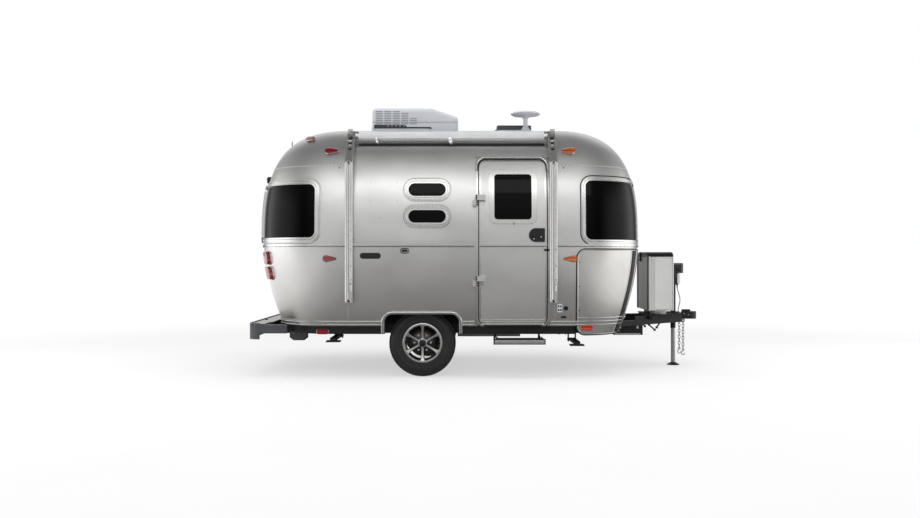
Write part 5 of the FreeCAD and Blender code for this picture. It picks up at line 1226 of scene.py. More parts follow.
class CARAVAN_OT_rails(bpy.types.Operator):
    """Dark insert of the belt rail, ribs of the rub rail and rounded mould of the wheel arches"""
    bl_idname = "caravan.rails"
    bl_label = "Rails"

    def execute(self, context):
        def round_body(z, x_from, x_to):
            """From one place on the curb side, back round the rear and the street side, to another."""
            line = run_along(CURB, z, x_from, REAR_SEAM, 24) + run_round(REAR, z, -88, 88)
            line += run_along(STREET, z, REAR_SEAM, FRONT_SEAM, 40) + run_round(FRONT, z, 88, -88)
            return line + run_along(CURB, z, FRONT_SEAM, x_to, 2)[1:]

        lower_edge = 1.3655
        whole = round_body(lower_edge, -0.122, 0.664)
        leaf = [beside(-0.066 + 0.0688 * k, lower_edge, CURB) for k in range(11)]
        beads("belt_insert", [(out_by(whole, 0.0125), False)], 0.0042, RUBBER)
        beads("door_belt_insert", [(out_by(leaf, 0.0125), False)], 0.0042, RUBBER, "door")

        lines, outer = [], 0.0135
        arch_left, arch_right = -1.056 - 0.037, -0.280 + 0.037
        for z in (0.584, 0.552):
            short = run_along(CURB, z, arch_right, -0.120, 3)
            rear = run_along(CURB, z, arch_left, REAR_SEAM, 6) + run_round(REAR, z, -88, 88)
            rear += run_along(STREET, z, REAR_SEAM, arch_left, 6)
            front = run_along(STREET, z, arch_right, FRONT_SEAM, 16) + run_round(FRONT, z, 88, -88)
            front += [beside(0.690, z, CURB), beside(0.664, z, CURB)]
            lines += [short, rear, front]
        strips("rub_rail_ribs", lines, half_round(0.013, 0.006), out=outer)

        left, right, top, radius, bottom = -1.056, -0.280, 0.660, 0.085, 0.462
        grow = 0.0175
        outline = [(left - grow, bottom), (left - grow, top - radius)]
        outline += arc(left + radius, top - radius, radius + grow, 180, -10, 10)
        outline += arc(right - radius, top - radius, radius + grow, 90, -10, 10)
        outline += [(right + grow, bottom)]
        lines = [on_side(spread(outline, 0.05), side) for side in (CURB, STREET)]
        strips("wheel_arch_moulds", lines, half_round(0.033, 0.010, 0.004, 10), out=outer - 0.002)
        return {"FINISHED"}


WHEEL = (-0.664, 0.0, 0.350)


def tyre(name, side):
    """Tyre with bulged, ringed sidewalls, three grooves and a tread of separate blocks."""
    half = [(0.1935, 0.0785), (0.2095, 0.0835), (0.2150, 0.0870), (0.2215, 0.0935), (0.2275, 0.0930),
            (0.2380, 0.0975), (0.2410, 0.1022), (0.2440, 0.1022), (0.2480, 0.1002),
            (0.2640, 0.1055), (0.2680, 0.1110), (0.2735, 0.1115), (0.2775, 0.1082),
            (0.2920, 0.1085), (0.3000, 0.1062), (0.3040, 0.1100), (0.3085, 0.1085), (0.3125, 0.1040),
            (0.3230, 0.0990), (0.3340, 0.0880), (0.3400, 0.0760), (0.3425, 0.0600), (0.3428, 0.0520),
            (0.3385, 0.0505), (0.3385, 0.0455), (0.3428, 0.0440), (0.3428, 0.0035), (0.3385, 0.0025)]
    middle = 0.9875
    profile = [(r, middle + a) for r, a in half] + [(r, middle - a) for r, a in reversed(half)]
    shape = Shape()
    shape.turned(profile, WHEEL, (0, side, 0), 96, True)
    body = "wheel_" + name
    place_piece("road_tyre_" + name, shape, ["vulcanised_tyre_rubber"], body, 40,
                replaces=("tyre_" + name,))
    count, rows = 72, ((-0.0710, 0.0330, 0.0), (-0.0235, 0.0370, 0.5), (0.0235, 0.0370, 0.0),
                       (0.0710, 0.0330, 0.5))
    for row, (across, width, shift) in enumerate(rows):
        spots, outs, tangents = [], [], []
        for k in range(count):
            a = 2 * math.pi * (k + shift) / count
            out = Vector((math.cos(a), 0, math.sin(a)))
            spots.append(Vector(WHEEL) + out * 0.3457 + Vector((0, side * (middle + across), 0)))
            outs.append(out)
            tangents.append(Vector((-math.sin(a), 0, math.cos(a))))
        blocks("tread_%s_%d" % (name, row), spots, outs, tangents,
               (0.0235, width, sizes().tread_depth), "vulcanised_tyre_rubber", body)


def alloy_wheel(name, side):
    """Six machined spokes and a bright lip on a gloss black wheel, with its cap, nuts and valve."""
    shape, axis = Shape(), (0, side, 0)
    shape.turned([(0.1795, 1.0580), (0.1840, 1.0700), (0.1905, 1.0765), (0.2035, 1.0785),
                  (0.2085, 1.0765), (0.2093, 1.0715), (0.2065, 1.0695), (0.1945, 1.0680),
                  (0.1885, 1.0580)], WHEEL, axis, 96, True)
    shape.turned([(0.0375, 1.0500), (0.0375, 1.0640), (0.0400, 1.0665), (0.0450, 1.0655),
                  (0.0480, 1.0600), (0.0480, 1.0500)], WHEEL, axis, 48, True)
    shape.finish = 1
    shape.turned([(0.1880, 1.0640), (0.1800, 1.0560), (0.1780, 1.0000), (0.1740, 0.9600),
                  (0.1760, 0.9120), (0.1930, 0.9015), (0.2060, 0.9000), (0.2085, 0.9030),
                  (0.2085, 0.9075), (0.1965, 0.9095), (0.1935, 0.9150), (0.1935, 1.0600)],
                 WHEEL, axis, 96, True)
    shape.turned([(0.0, 1.0480), (0.0520, 1.0470), (0.0600, 1.0425), (0.1000, 1.0400),
                  (0.1120, 1.0370), (0.1140, 1.0340), (0.0, 1.0340)], WHEEL, axis, 64)
    shape.turned([(0.0, 1.0620), (0.0240, 1.0620), (0.0330, 1.0610), (0.0376, 1.0580),
                  (0.0376, 1.0450), (0.0, 1.0450)], WHEEL, axis, 48)
    # stations along a spoke: radius, half width of its face and of its back, height of its face
    stations = ((0.0400, 0.0130, 0.0190, 1.0570), (0.0700, 0.0105, 0.0170, 1.0570),
                (0.1100, 0.0098, 0.0165, 1.0585), (0.1450, 0.0110, 0.0180, 1.0620),
                (0.1680, 0.0140, 0.0215, 1.0660), (0.1800, 0.0205, 0.0280, 1.0695),
                (0.1870, 0.0300, 0.0360, 1.0715))
    for k in range(6):
        angle = math.radians(30 + 60 * k)
        out = Vector((math.cos(angle), 0, math.sin(angle)))
        across = Vector((-math.sin(angle), 0, math.cos(angle)))
        places = []
        for radius, face, back, height in stations:
            base = Vector(WHEEL) + out * radius
            for half, along in ((-back, 1.0365), (-face - 0.0012, height - 0.0014), (-face, height),
                                (face, height), (face + 0.0012, height - 0.0014), (back, 1.0365)):
                places.append(base + across * half + Vector((0, side * along, 0)))
        shape.finish = 1
        n, runs = 6, len(stations) - 1
        faces = [(i * n + m, i * n + (m + 1) % n, (i + 1) * n + (m + 1) % n, (i + 1) * n + m)
                 for i in range(runs) for m in (0, 1, 3, 4, 5)]
        faces += [tuple(range(n)), tuple(range(runs * n, (runs + 1) * n))]
        shape.add(places, faces)
        shape.mesh.faces.ensure_lookup_table()
        shape.mesh.verts.ensure_lookup_table()
        corners = shape.mesh.verts[-len(places):]
        for i in range(runs):
            face = shape.mesh.faces.new([corners[j] for j in
                                         (i * n + 2, i * n + 3, (i + 1) * n + 3, (i + 1) * n + 2)])
            face.material_index = 0
    shape.finish = 2
    nut = sizes().lug_nut / math.sqrt(3)
    for k in range(6):
        angle = math.radians(60 * k)
        centre = Vector(WHEEL) + Vector((math.cos(angle), 0, math.sin(angle))) * 0.086
        shape.turned([(0.0, 1.0600), (nut * 0.5, 1.0590), (nut * 0.85, 1.0565), (nut, 1.0540),
                      (nut, 1.0420), (nut * 1.15, 1.0415), (nut * 1.15, 1.0395), (0.0, 1.0395)],
                     centre, axis, 6)
    shape.finish = 3
    valve = Vector(WHEEL) + Vector((0.163, 0, 0))
    shape.turned([(0.0, 1.0680), (0.0040, 1.0680), (0.0042, 1.0560), (0.0058, 1.0540),
                  (0.0065, 1.0380), (0.0, 1.0380)], valve, axis, 14)
    place_piece("alloy_wheel_" + name, shape,
                ["turned_wheel_alloy", "gloss_black_wheel_paint", ZINC,
                 RUBBER], "wheel_" + name, 32, replaces=("rim_" + name,))


class CARAVAN_OT_wheels(bpy.types.Operator):
    """Both road wheels: tyres with tread and spoked alloy wheels"""
    bl_idname = "caravan.wheels"
    bl_label = "Wheels"

    def execute(self, context):
        for name, side in (("left", STREET), ("right", CURB)):
            tyre(name, side)
            alloy_wheel(name, side)
        return {"FINISHED"}


class CARAVAN_OT_roof_gear(bpy.types.Operator):
    """Rounded cooler with painted shade in its slots and along its shell seam, its dark band, vent collar and
    lid, roof antenna and whip
    """
    bl_idname = "caravan.roof_gear"
    bl_label = "Roof gear"

    def execute(self, context):
        softened("ac_unit", "roof_cooler", [WHITE], "caravan", 0.006)
        slot_length, slot_height = 0.080, 0.009
        # blocks of painted shade sit inside the louvre slots
        for side, word in ((CURB, "curb"), (STREET, "street")):
            spots = [Vector((-1.222 + 0.096 * column + slot_length / 2, side * 0.3425,
                             2.905 - 0.020 * row - slot_height / 2))
                     for row in range(8) for column in range(5) if column < 3 + row / 3]
            blocks("cooler_slot_shade_" + word, spots, (0, side, 0), (1, 0, 0),
                   (slot_length * 1.01, slot_height * 1.05, 0.007), "slot_shadow_plastic")
            dots = [Vector((x, side * 0.3605, 2.7365)) for x in (-1.083, -1.038, -0.993, -0.948, -0.903)]
            rivets("cooler_band_studs_" + word, dots, (0, side, 0), WHITE,
                   head=0.012)
        band = Shape()
        for side in (CURB, STREET):
            outline = [(-1.240, 2.7065), (-0.585, 2.7065), (-0.600, 2.7245), (-0.868, 2.7260),
                       (-0.892, 2.7490), (-1.240, 2.7490)]
            band.prism(outline, "y", (side * 0.349, side * 0.3600))
        place_piece("cooler_dark_band", band, ["navy_moulded_abs"], edge=0.0015)
        # a thin strip of painted shade marks the shell seam
        seam = Shape()
        outline = rounded((-1.262, -0.296), (-0.3515, 0.3515), 0.030, 0.1)
        line = [Vector((x, y, 2.7800)) for x, y in outline]
        centre = Vector((-0.779, 0.0, 2.78))
        outs = []
        for p in line:
            away = Vector((p.x - centre.x, p.y - centre.y, 0))
            side_on = abs(abs(p.y) - 0.3515) < 1e-4
            outs.append(Vector((0, math.copysign(1, p.y), 0)) if side_on else away.normalized())
        seam.swept(line, outs, strip(0.004, 0.0012, 0.001), True)
        place_piece("cooler_seam_shade_line", seam, ["slot_shadow_plastic"])

        softened("roof_fittings", "roof_castings", [WHITE], "caravan", 0.002,
                 50)
        softened("vent_lid", "vent_smoked_lid", ["smoked_acrylic_lid"], "roof_hatch", 0.006)
        ribs = Shape()
        for k in range(5):
            y = -0.12 + 0.06 * k
            line = [Vector((x, y, 2.7655)) for x in (0.20, 0.35, 0.50)]
            ribs.swept(line, (0, 0, 1), half_round(0.014, 0.004, 0.001))
        place_piece("vent_lid_ribs", ribs, ["smoked_acrylic_lid"], "roof_hatch")
        collar = rounded((0.142, 0.562), (-0.210, 0.210), 0.040, 0.08)
        spots = [over_roof(x, y) for x, y in collar]
        strips("vent_collar_flange", [spots], strip(0.034, 0.003), WHITE,
               closed=True)
        spots = along_line(spots + spots[:1], 0.075, 0.02)
        rivets("vent_collar_screws", [p + Vector((0, 0, 0.003)) for p in spots],
               facings(spots), ZINC, head=0.010)

        whip = Shape()
        foot = at_end(0.0, 2.425, REAR)
        whip.turned([(0.0, -0.006), (0.020, -0.006), (0.020, 0.002), (0.012, 0.010), (0.0045, 0.014),
                     (0.0045, 0.120), (0.0055, 0.125), (0.0055, 0.175), (0.0, 0.176)],
                    foot, (0, 0, 1), 16)
        place_piece("rear_camera_whip", whip, [BLACK])
        return {"FINISHED"}


class CARAVAN_OT_awning(bpy.types.Operator):
    """Rolled awning with its end caps and cloth edge, the wall rail, straps, castings and arm tubes"""
    bl_idname = "caravan.awning"
    bl_label = "Awning"

    def execute(self, context):
        centre_y, centre_z, radius = -1.000, 2.535, 0.050
        rear_end, front_end = -1.3745, 0.6525
        roll, steps, turns = Shape(), 60, 44
        places = []
        for i in range(steps + 1):
            x = rear_end + 0.010 + (front_end - rear_end - 0.020) * i / steps
            for k in range(turns):
                angle = 2 * math.pi * k / turns
                # the outer turn of cloth ends in a low step that runs along the roll
                r = radius - 0.0045 + 0.0030 * k / turns + 0.0005 * math.sin(9 * x + 2 * angle)
                places.append((x, centre_y - r * math.cos(angle + 2.3), centre_z + r * math.sin(angle + 2.3)))
        faces = [(i * turns + k, i * turns + (k + 1) % turns, (i + 1) * turns + (k + 1) % turns,
                  (i + 1) * turns + k) for i in range(steps) for k in range(turns)]
        faces += [tuple(range(turns)), tuple(range(steps * turns, (steps + 1) * turns))]
        roll.add(places, faces)
        place_piece("awning_cloth_roll", roll, ["rolled_coated_cloth"],
                    replaces=("awning_roll",))

        metal = Shape()
        for x, way in ((rear_end, 1), (front_end, -1)):
            metal.turned([(0.0, 0.0), (0.044, 0.0), (0.0495, 0.004), (0.0505, 0.010), (0.0505, 0.034),
                          (0.0470, 0.038), (0.0, 0.038)], (x, centre_y, centre_z), (way, 0, 0), 40)
        y, z = centre_y - 0.0345, centre_z - 0.0335
        metal.swept(straight((rear_end + 0.04, y, z), (front_end - 0.04, y, z), 20), (0, -0.72, -0.70),
                    half_round(0.013, 0.0055, 0.002))
        place_piece("awning_end_caps_and_rail", metal, [BRIGHT], sharp=30)

        line = [over_roof(x, -0.985) for x in even(rear_end + 0.03, front_end - 0.03, 20)]
        strips("awning_wall_rail", [line], strip(0.028, 0.016), RUBBER)

        straps = Shape()
        for x, width in ((-0.375, 0.034), (-1.150, 0.020)):
            top = Vector((x, centre_y - 0.047, centre_z - 0.022))
            spots = [top, top + Vector((0, -0.003, -0.020)), top + Vector((0.006, 0.000, -0.042)),
                     top + Vector((0.020, -0.006, -0.060)), top + Vector((0.026, -0.016, -0.068))]
            straps.swept(spots, (0, -1, 0), strip(width, 0.003, 0.0))
        place_piece("awning_pull_straps", straps, [BRIGHT])

        arms, joints = Shape(), Shape()
        front, apart = -1.275, 0.0235       # face of the arms, and a tube's distance from the middle
        for middle in (-1.415, 0.693):
            for x, bottom in ((middle - apart, 0.800), (middle + apart, 1.000)):
                arms.swept(straight((x, front, bottom), (x, front, 2.215), 10), (0, -1, 0),
                           half_round(0.030, 0.009, 0.001, 10))
            line = [Vector((middle + apart, front, z)) for z in (0.905, 0.99)]
            arms.swept(line, (0, -1, 0), half_round(0.019, 0.006, 0.001, 8))
            for x in (middle - apart, middle + apart):
                line = [Vector((x, front - 0.001, 2.232)), Vector((x, -1.163, 2.385)),
                        Vector((x, -1.060, 2.525))]
                arms.swept(line, (0, -0.80, 0.60), half_round(0.026, 0.007, 0.001, 8))
            joints.finish = 0
            for z, r in ((0.800, 0.021), (2.226, 0.020)):
                joints.turned([(r - 0.008, -0.002), (r, -0.002), (r, 0.008), (r - 0.003, 0.0105),
                               (r - 0.008, 0.0105)], (middle, front - 0.001, z), (0, -1, 0), 28, True)
            joints.finish = 1
            for z in (0.975, 1.020, 1.160, 1.330):
                joints.turned([(0.0, -0.001), (0.0062, -0.001), (0.0062, 0.0030), (0.0, 0.0042)],
                              (middle + apart, front - 0.008, z), (0, -1, 0), 12)
            for z in (0.800, 2.226):
                joints.turned(button(0.0125, -0.001, 0.006, 0.0085, 0.0085),
                              (middle, front - 0.001, z), (0, -1, 0), 20)
        place_piece("awning_arm_tubes", arms, [BRIGHT])
        place_piece("awning_arm_joints", joints, [BRIGHT, BLACK])

        heads = Shape()
        for x, way in ((-1.415, 1), (0.693, -1)):
            for z, y, r, deep in ((2.592, -1.010, 0.014, 0.052), (2.535, -1.000, 0.030, 0.056),
                                  (2.468, -1.092, 0.016, 0.050), (2.420, -1.126, 0.012, 0.054)):
                heads.finish = 0
                heads.turned([(0.0, -deep / 2), (r * 0.8, -deep / 2), (r, -deep / 2 + 0.004),
                              (r, deep / 2 - 0.004), (r * 0.8, deep / 2), (0.0, deep / 2)],
                             (x - way * 0.012, y, z), (1, 0, 0), 20)
            for z, y, wide, tall in ((2.500, -1.070, 0.050, 0.034), (2.440, -1.112, 0.040, 0.026),
                                     (2.375, -1.160, 0.046, 0.022)):
                heads.finish = 1
                heads.block((x - wide / 2, y - 0.020, z - tall / 2), (x + wide / 2, y + 0.014, z + tall / 2))
        place_piece("awning_head_castings", heads, [BRIGHT, BLACK],
                    edge=0.002)
        return {"FINISHED"}


def repainted(piece, finish, chosen):
    """Second finish on the faces of a piece that a test picks by their middle and their normal."""
    piece.data.materials.append(FINISHES[finish])
    for face in piece.data.polygons:
        if chosen(face.center, face.normal):
            face.material_index = len(piece.data.materials) - 1
    return piece


class CARAVAN_OT_lamps(bpy.types.Operator):
    """Soft-edged lenses with their bright bezels"""
    bl_idname = "caravan.lamps"
    bl_label = "Lamps"

    def execute(self, context):
        softened("lamps_red", "red_lenses", ["red_acrylic_lens"], "caravan", 0.007, 50)
        softened("lamps_amber", "amber_lenses", ["amber_acrylic_lens"], "caravan", 0.007, 50)
        bezels, length, height = Shape(), 0.140, 0.064
        r, tip = height / 2 + 0.003, height / 6 + 0.003
        for x, way in ((-1.620, 1), (0.870, -1)):
            for z in (2.375, 1.238):
                round_x, point_x = x - way * (length / 2 - r), x + way * (length / 2 - tip)
                outline = [(round_x - way * r * math.sin(a), z + r * math.cos(a))
                           for a in (math.radians(20 * k) for k in range(10))]
                outline += [(point_x + way * tip * math.sin(a), z - tip * math.cos(a))
                            for a in (math.radians(30 * k) for k in range(7))]
                for side in (CURB, STREET):
                    line = on_side(spread(outline, 0.02, True), side)
                    bezels.laid(line, half_round(0.009, 0.007), closed=True)
        for z0, z1 in ((1.016, 1.150), (1.176, 1.310)):
            for side in (-1, 1):
                outline = rounded((side * 0.880 - 0.063, side * 0.880 + 0.063), (z0 - 0.003, z1 + 0.003),
                                  0.042)
                line = on_end(outline, REAR)
                bezels.laid(line, half_round(0.010, 0.009), closed=True)
        for side in (CURB, STREET):
            outline = rounded((-1.885 - 0.052, -1.885 + 0.052), (2.538 - 0.024, 2.538 + 0.024), 0.024, 0.02)
            line = on_side(outline, side)
            bezels.laid(line, half_round(0.006, 0.004), closed=True)
        place_piece("lamp_bezels", bezels, [BRIGHT])

        reflectors, rims = Shape(), Shape()
        x, z, radius = (-1.770, -1.649), (0.450, 0.499), 0.020
        for side in (CURB, STREET):
            y_at = abs(beside(x[0], 0.545, side).y) - 0.0655
            outline = rounded(x, z, radius, 0.02, 5)
            reflectors.prism(outline, "y", (side * (y_at - 0.004), side * (y_at + 0.018)))
            line = [Vector((u, side * (y_at + 0.010), v))
                    for u, v in rounded_by(x, z, radius, 0.003, 0.02, 5)]
            rims.swept(line, (0, side, 0), half_round(0.006, 0.008), True)
        place_piece("side_reflectors", reflectors, ["red_reflector_acrylic"], edge=0.002)
        place_piece("side_reflector_rims", rims, [BRIGHT])
        return {"FINISHED"}


class CARAVAN_OT_stone_guards(bpy.types.Operator):
    """Bright edge and dark seal of the stone guards, their front rubber and the rail that crosses them"""
    bl_idname = "caravan.stone_guards"
    bl_label = "Stone guards"

    def execute(self, context):
        guard_out, side_x, low, high, radius, end_y = 0.012, 0.943, 0.448, 1.332, 0.090, 0.560
        edges, darks, rubber, lights, rail, heads, outs = [], [], [], [], [], [], []
        lamps = Shape()
        for side in (CURB, STREET):
            def around(grow):
                x, top, bottom, r = side_x - grow, high + grow, low - grow, radius + grow
                line = run_round(FRONT, top, side * turn_of(top, y=end_y),
                                 side * turn_of(top, x=x + r))
                line += [beside(x + r - r * math.sin(a), top - r + r * math.cos(a), side)
                         for a in (math.radians(10 * k) for k in range(1, 10))]
                line += [beside(x, top - r - (top - bottom - 2 * r) * k / 12, side) for k in range(1, 12)]
                line += [beside(x + r - r * math.cos(a), bottom + r - r * math.sin(a), side)
                         for a in (math.radians(10 * k) for k in range(10))]
                return line + run_round(FRONT, bottom, side * turn_of(bottom, x=x + r),
                                        side * turn_of(bottom, y=end_y))
            edges.append((out_by(around(-0.006), guard_out), False))
            darks.append((out_by(around(0.0055), 0.004), False))
            heights = even(low + 0.010, high - 0.010, 24)
            rubber.append([at_end(side * 0.862, z, FRONT) for z in heights])
            lights += [[at_end(side * y, z, FRONT) for z in heights] for y in (0.792, 0.932)]
            rail += [run_round(FRONT, z, side * turn_of(z, x=side_x + 0.004),
                               side * turn_of(z, y=end_y + 0.05)) for z in (0.622, 0.588)]
            outline = rounded((0.992, 1.104), (0.494, 0.546), 0.012, 0.02, 4)
            line = on_side(outline, side)
            lamps.laid(line, strip(0.004, 0.006), guard_out, closed=True)
            rows = [[beside(0.996 + 0.026 * i, 0.498 + 0.011 * j, side, guard_out + 0.001)
                     for i in range(5)] for j in range(5)]
            lamps.sheet(rows, 0.006)
            spots = [beside(0.965, z, side) for z in (1.20, 0.95, 0.70)]
            spots += [at_end(side * (end_y + 0.075), z, FRONT) for z in (1.300, 1.100, 0.880, 0.640)]
            heads += out_by(spots, guard_out)
            outs += facings(spots)
        beads("guard_bright_edges", edges, 0.0055, BRIGHT)
        beads("guard_dark_seals", darks, 0.0065, RUBBER)
        strips("guard_front_rubbers", rubber, strip(0.120, 0.005), RUBBER, out=guard_out)
        strips("guard_front_trims", lights, half_round(0.014, 0.008, 0.010), out=guard_out - 0.001)
        strips("guard_rail_ribs", rail, half_round(0.013, 0.006, 0.006), out=0.0165)
        place_piece("front_side_reflectors", lamps, ["orange_reflector_acrylic"])
        rivets("guard_screws", heads, outs, BLACK, head=0.014)
        return {"FINISHED"}


class CARAVAN_OT_gas_cover(bpy.types.Operator):
    """Gas bottle cover with rounded corners, black strips of painted reflection at its rear corners, edge
    beads, dark lid and its latch
    """
    bl_idname = "caravan.gas_cover"
    bl_label = "Gas cover"

    def execute(self, context):
        softened("gas_cover", "gas_cover_sheet", ["satin_painted_cover"], "caravan", 0.009)
        softened("gas_cover_lid", "gas_cover_dark_lid", [BLACK], "caravan",
                 0.006)
        rear_x, front_x, half, low, high = 1.865, 2.150, 0.330, 0.650, 1.262
        straps, beads_bright = Shape(), Shape()
        for side in (CURB, STREET):
            # black strips on the rear face by each corner are a painted dark reflection of the rounded
            # corners
            y = side * (half - 0.037)
            straps.swept(straight((rear_x, y, low + 0.006), (rear_x, y, high + 0.006), 6), (-1, 0, 0),
                         strip(0.062, 0.005))
            y = side * half
            for x in (rear_x + 0.0065, front_x - 0.0065):
                beads_bright.swept(straight((x, y, low + 0.004), (x, y, high + 0.004), 6), (0, side, 0),
                                   half_round(0.011, 0.006))
            line = straight((rear_x + 0.02, y, low + 0.010), (front_x - 0.02, y, low + 0.010), 6)
            beads_bright.swept(line, (0, side, 0), half_round(0.014, 0.005))
        place_piece("gas_cover_corner_shade_strips", straps, [BLACK])
        place_piece("gas_cover_edge_beads", beads_bright, [BRIGHT])
        latch_x, latch_y = rear_x - 0.009, 0.095
        bars = [[(latch_x, latch_y, 1.316), (latch_x - 0.004, latch_y, 1.290), (latch_x, latch_y, 1.258)],
                [(latch_x, latch_y, 1.262), (latch_x, latch_y - 0.024, 1.236),
                 (latch_x, latch_y - 0.034, 1.205)],
                [(latch_x, latch_y, 1.262), (latch_x, latch_y + 0.022, 1.240),
                 (latch_x, latch_y + 0.040, 1.212)],
                [(latch_x, latch_y - 0.030, 1.282), (latch_x - 0.004, latch_y, 1.292),
                 (latch_x, latch_y + 0.026, 1.276)]]
        beads("gas_cover_latch", [([Vector(p) for p in bar], False) for bar in bars], 0.0075,
              BLACK, sides=10)
        return {"FINISHED"}


class CARAVAN_OT_tongue_gear(bpy.types.Operator):
    """Powered jack, drawbar, coupler, safety chains, stay rods and the box under the drawbar"""
    bl_idname = "caravan.tongue_gear"
    bl_label = "Tongue gear"

    def execute(self, context):
        head = softened("jack_column", "powered_jack", [BLACK], "caravan",
                        0.005)
        repainted(head, "grey_moulded_tank", lambda middle, normal: middle.z > 1.0695)
        repainted(head, CHASSIS, lambda middle, normal: middle.z < 0.93)
        jack_x, side_y = 2.219, 0.058
        details = Shape()
        details.swept(straight((jack_x + 0.066, 0, 0.950), (jack_x + 0.066, 0, 1.065), 4), (1, 0, 0),
                      half_round(0.080, 0.020, 0.006))
        for side in (CURB, STREET):
            x, y = jack_x + 0.043, side * side_y
            details.swept(straight((x, y, 0.950), (x, y, 1.065), 4), (0, side, 0),
                          half_round(0.018, 0.006))
        details.finish = 1
        details.turned(button(0.017, -0.003, 0.006, 0.012, 0.010),
                       (jack_x - 0.005, 0, 1.187), (0, 0, 1), 24)
        for side in (CURB, STREET):
            details.turned(button(0.034, -0.002, 0.002, 0.031, 0.004),
                           (jack_x + 0.050, side * side_y, 1.128), (0, side, 0), 32)
            details.block((jack_x - 0.030, min(side * side_y, side * (side_y + 0.004)), 0.985),
                          (jack_x + 0.012, max(side * side_y, side * (side_y + 0.004)), 1.035))
        place_piece("jack_head_details", details, [BRIGHT, BLACK],
                    edge=0.001)
        bolts = [Vector((u, v, 0.6215)) for u, v in arc(jack_x, 0, 0.058, 60, 120, 3)]
        rivets("jack_flange_bolts", bolts, (0, 0, 1), ZINC,
               head=0.020, height=0.6)
        leg = softened("jack_leg", "jack_inner_leg", [ZINC], "jack", 0.0015)
        repainted(leg, CHASSIS, lambda middle, normal: middle.z < 0.030)

        softened("a_frame", "drawbar_frame", [CHASSIS], "caravan", 0.003)
        softened("coupler", "ball_coupler", [CHASSIS], "caravan", 0.004)
        softened("drawbar_box", "drawbar_store", [BLACK], "caravan", 0.004)
        box_trim = Shape()
        for side in (CURB, STREET):
            line = [Vector((x, side * 0.225, 0.3765)) for x in (1.500, 1.60, 1.70, 1.795)]
            box_trim.swept(line, (0, side, 0), strip(0.016, 0.003))
        for x in (1.56, 1.76):
            box_trim.block((x - 0.012, -0.2290, 0.440), (x + 0.012, -0.2240, 0.470))
        place_piece("drawbar_store_trim", box_trim, [BRIGHT])
        bolts = [(2.385, side * 0.0588, 0.585) for side in (-1, 1)]
        bolts += [(2.335, side * 0.0588, 0.600) for side in (-1, 1)]
        rivets("coupler_bolts", [Vector(b) for b in bolts],
               [Vector((0, math.copysign(1, b[1]), 0)) for b in bolts], ZINC,
               head=0.020, height=0.6)

        rods = []
        for side in (CURB, STREET):
            rods += [([Vector((1.838, side * 0.262, 0.520)), Vector((1.880, side * 0.268, 0.486)),
                       Vector((1.940, side * 0.272, 0.434))], False),
                     ([Vector((2.046, side * 0.196, 0.535)), Vector((2.020, side * 0.200, 0.500)),
                       Vector((1.988, side * 0.206, 0.458))], False)]
        beads("drawbar_stay_rods", rods, 0.0085, CHASSIS, sides=10)
        feet = Shape()
        for side in (CURB, STREET):
            for x, y, z in ((1.946, 0.273, 0.430), (1.984, 0.207, 0.452)):
                feet.turned([(0.0, -0.014), (0.013, -0.014), (0.015, -0.006), (0.013, 0.010), (0.0, 0.012)],
                            (x, side * y, z), (0, 0, 1), 16)
        place_piece("stay_rod_feet", feet, [RUBBER])

        chain_x, chain_y, first_z, pitch, count = 2.314, 0.092, 0.4961, 0.0357, 9
        spots, turned = [], []
        for side in (CURB, STREET):
            for k in range(count):
                spots.append(Vector((chain_x, side * chain_y, first_z - pitch * k)))
                turned.append(1.0 if k % 2 == 0 else 0.0)
        mesh = point_mesh("chain_places", spots, {"turned": turned})
        wire = sizes().chain_wire
        made = grown("safety_chain_links", mesh, "chain_links",
                     {"Wire": wire, "Half width": 0.015 - wire / 2, "Half length": 0.026 - wire / 2},
                     ZINC)
        settle("safety_chain_links", made, [ZINC], sharp=60,
               replaces=("safety_chains",))
        hooks = []
        eye_z = first_z - pitch * (count - 1) - 0.026 - 0.003
        for side in (CURB, STREET):
            y = side * chain_y
            eye = [Vector((u, y, v)) for u, v in arc(chain_x, eye_z, 0.0115, 0, 30, 12)]
            hooks.append((eye, True))
            bend = [Vector((chain_x - 0.004, y, eye_z - 0.0115)), Vector((chain_x - 0.016, y, eye_z - 0.022))]
            bend += [Vector((u, y, v)) for u, v in arc(chain_x, eye_z - 0.040, 0.017, 180, 22, 10)]
            hooks.append((bend, False))
        beads("safety_chain_hooks", hooks, 0.005, ZINC, sides=10)
        return {"FINISHED"}


class CARAVAN_OT_bumper(bpy.types.Operator):
    """Grey coated rear bumper, its locker lid with a latch, and the skid plates"""
    bl_idname = "caravan.bumper"
    bl_label = "Bumper"

    def execute(self, context):
        bar = softened("bumper", "rear_bumper", ["grey_powder_coat"], "caravan", 0.004)
        softened("bumper_lid", "bumper_locker_lid", ["satin_aluminium_guard"], "bumper_hatch",
                 0.0015)
        repainted(bar, "satin_aluminium_guard",
                  lambda middle, normal: normal.z > 0.7 and middle.z > 0.54)
        latch = Shape()
        for y in (-0.45, 0.45):
            latch.turned(button(0.022, -0.001, 0.002, 0.019, 0.0035),
                         (-2.435, y, 0.555), (0, 0, 1), 24)
            latch.block((-2.441, y - 0.016, 0.558), (-2.429, y + 0.016, 0.562))
        place_piece("bumper_lid_latches", latch, [BLACK], "bumper_hatch",
                    edge=0.001)
        skids = Shape()
        for side in (CURB, STREET):
            outline = [(-2.118, 0.447), (-2.118, 0.402), (-2.062, 0.354), (-1.976, 0.354), (-1.920, 0.402),
                       (-1.920, 0.447)]
            skids.prism(outline, "y", (side * 0.749, side * 0.7535))
        place_piece("skid_plate_facings", skids, ["grey_powder_coat"], edge=0.001)
        bolts = [Vector((x, side * 0.7535, 0.428)) for side in (CURB, STREET)
                 for x in (-2.08, -2.019, -1.958)]
        rivets("skid_plate_bolts", bolts, [Vector((0, math.copysign(1, b.y), 0)) for b in bolts],
               ZINC, head=0.016, height=0.5)
        return {"FINISHED"}


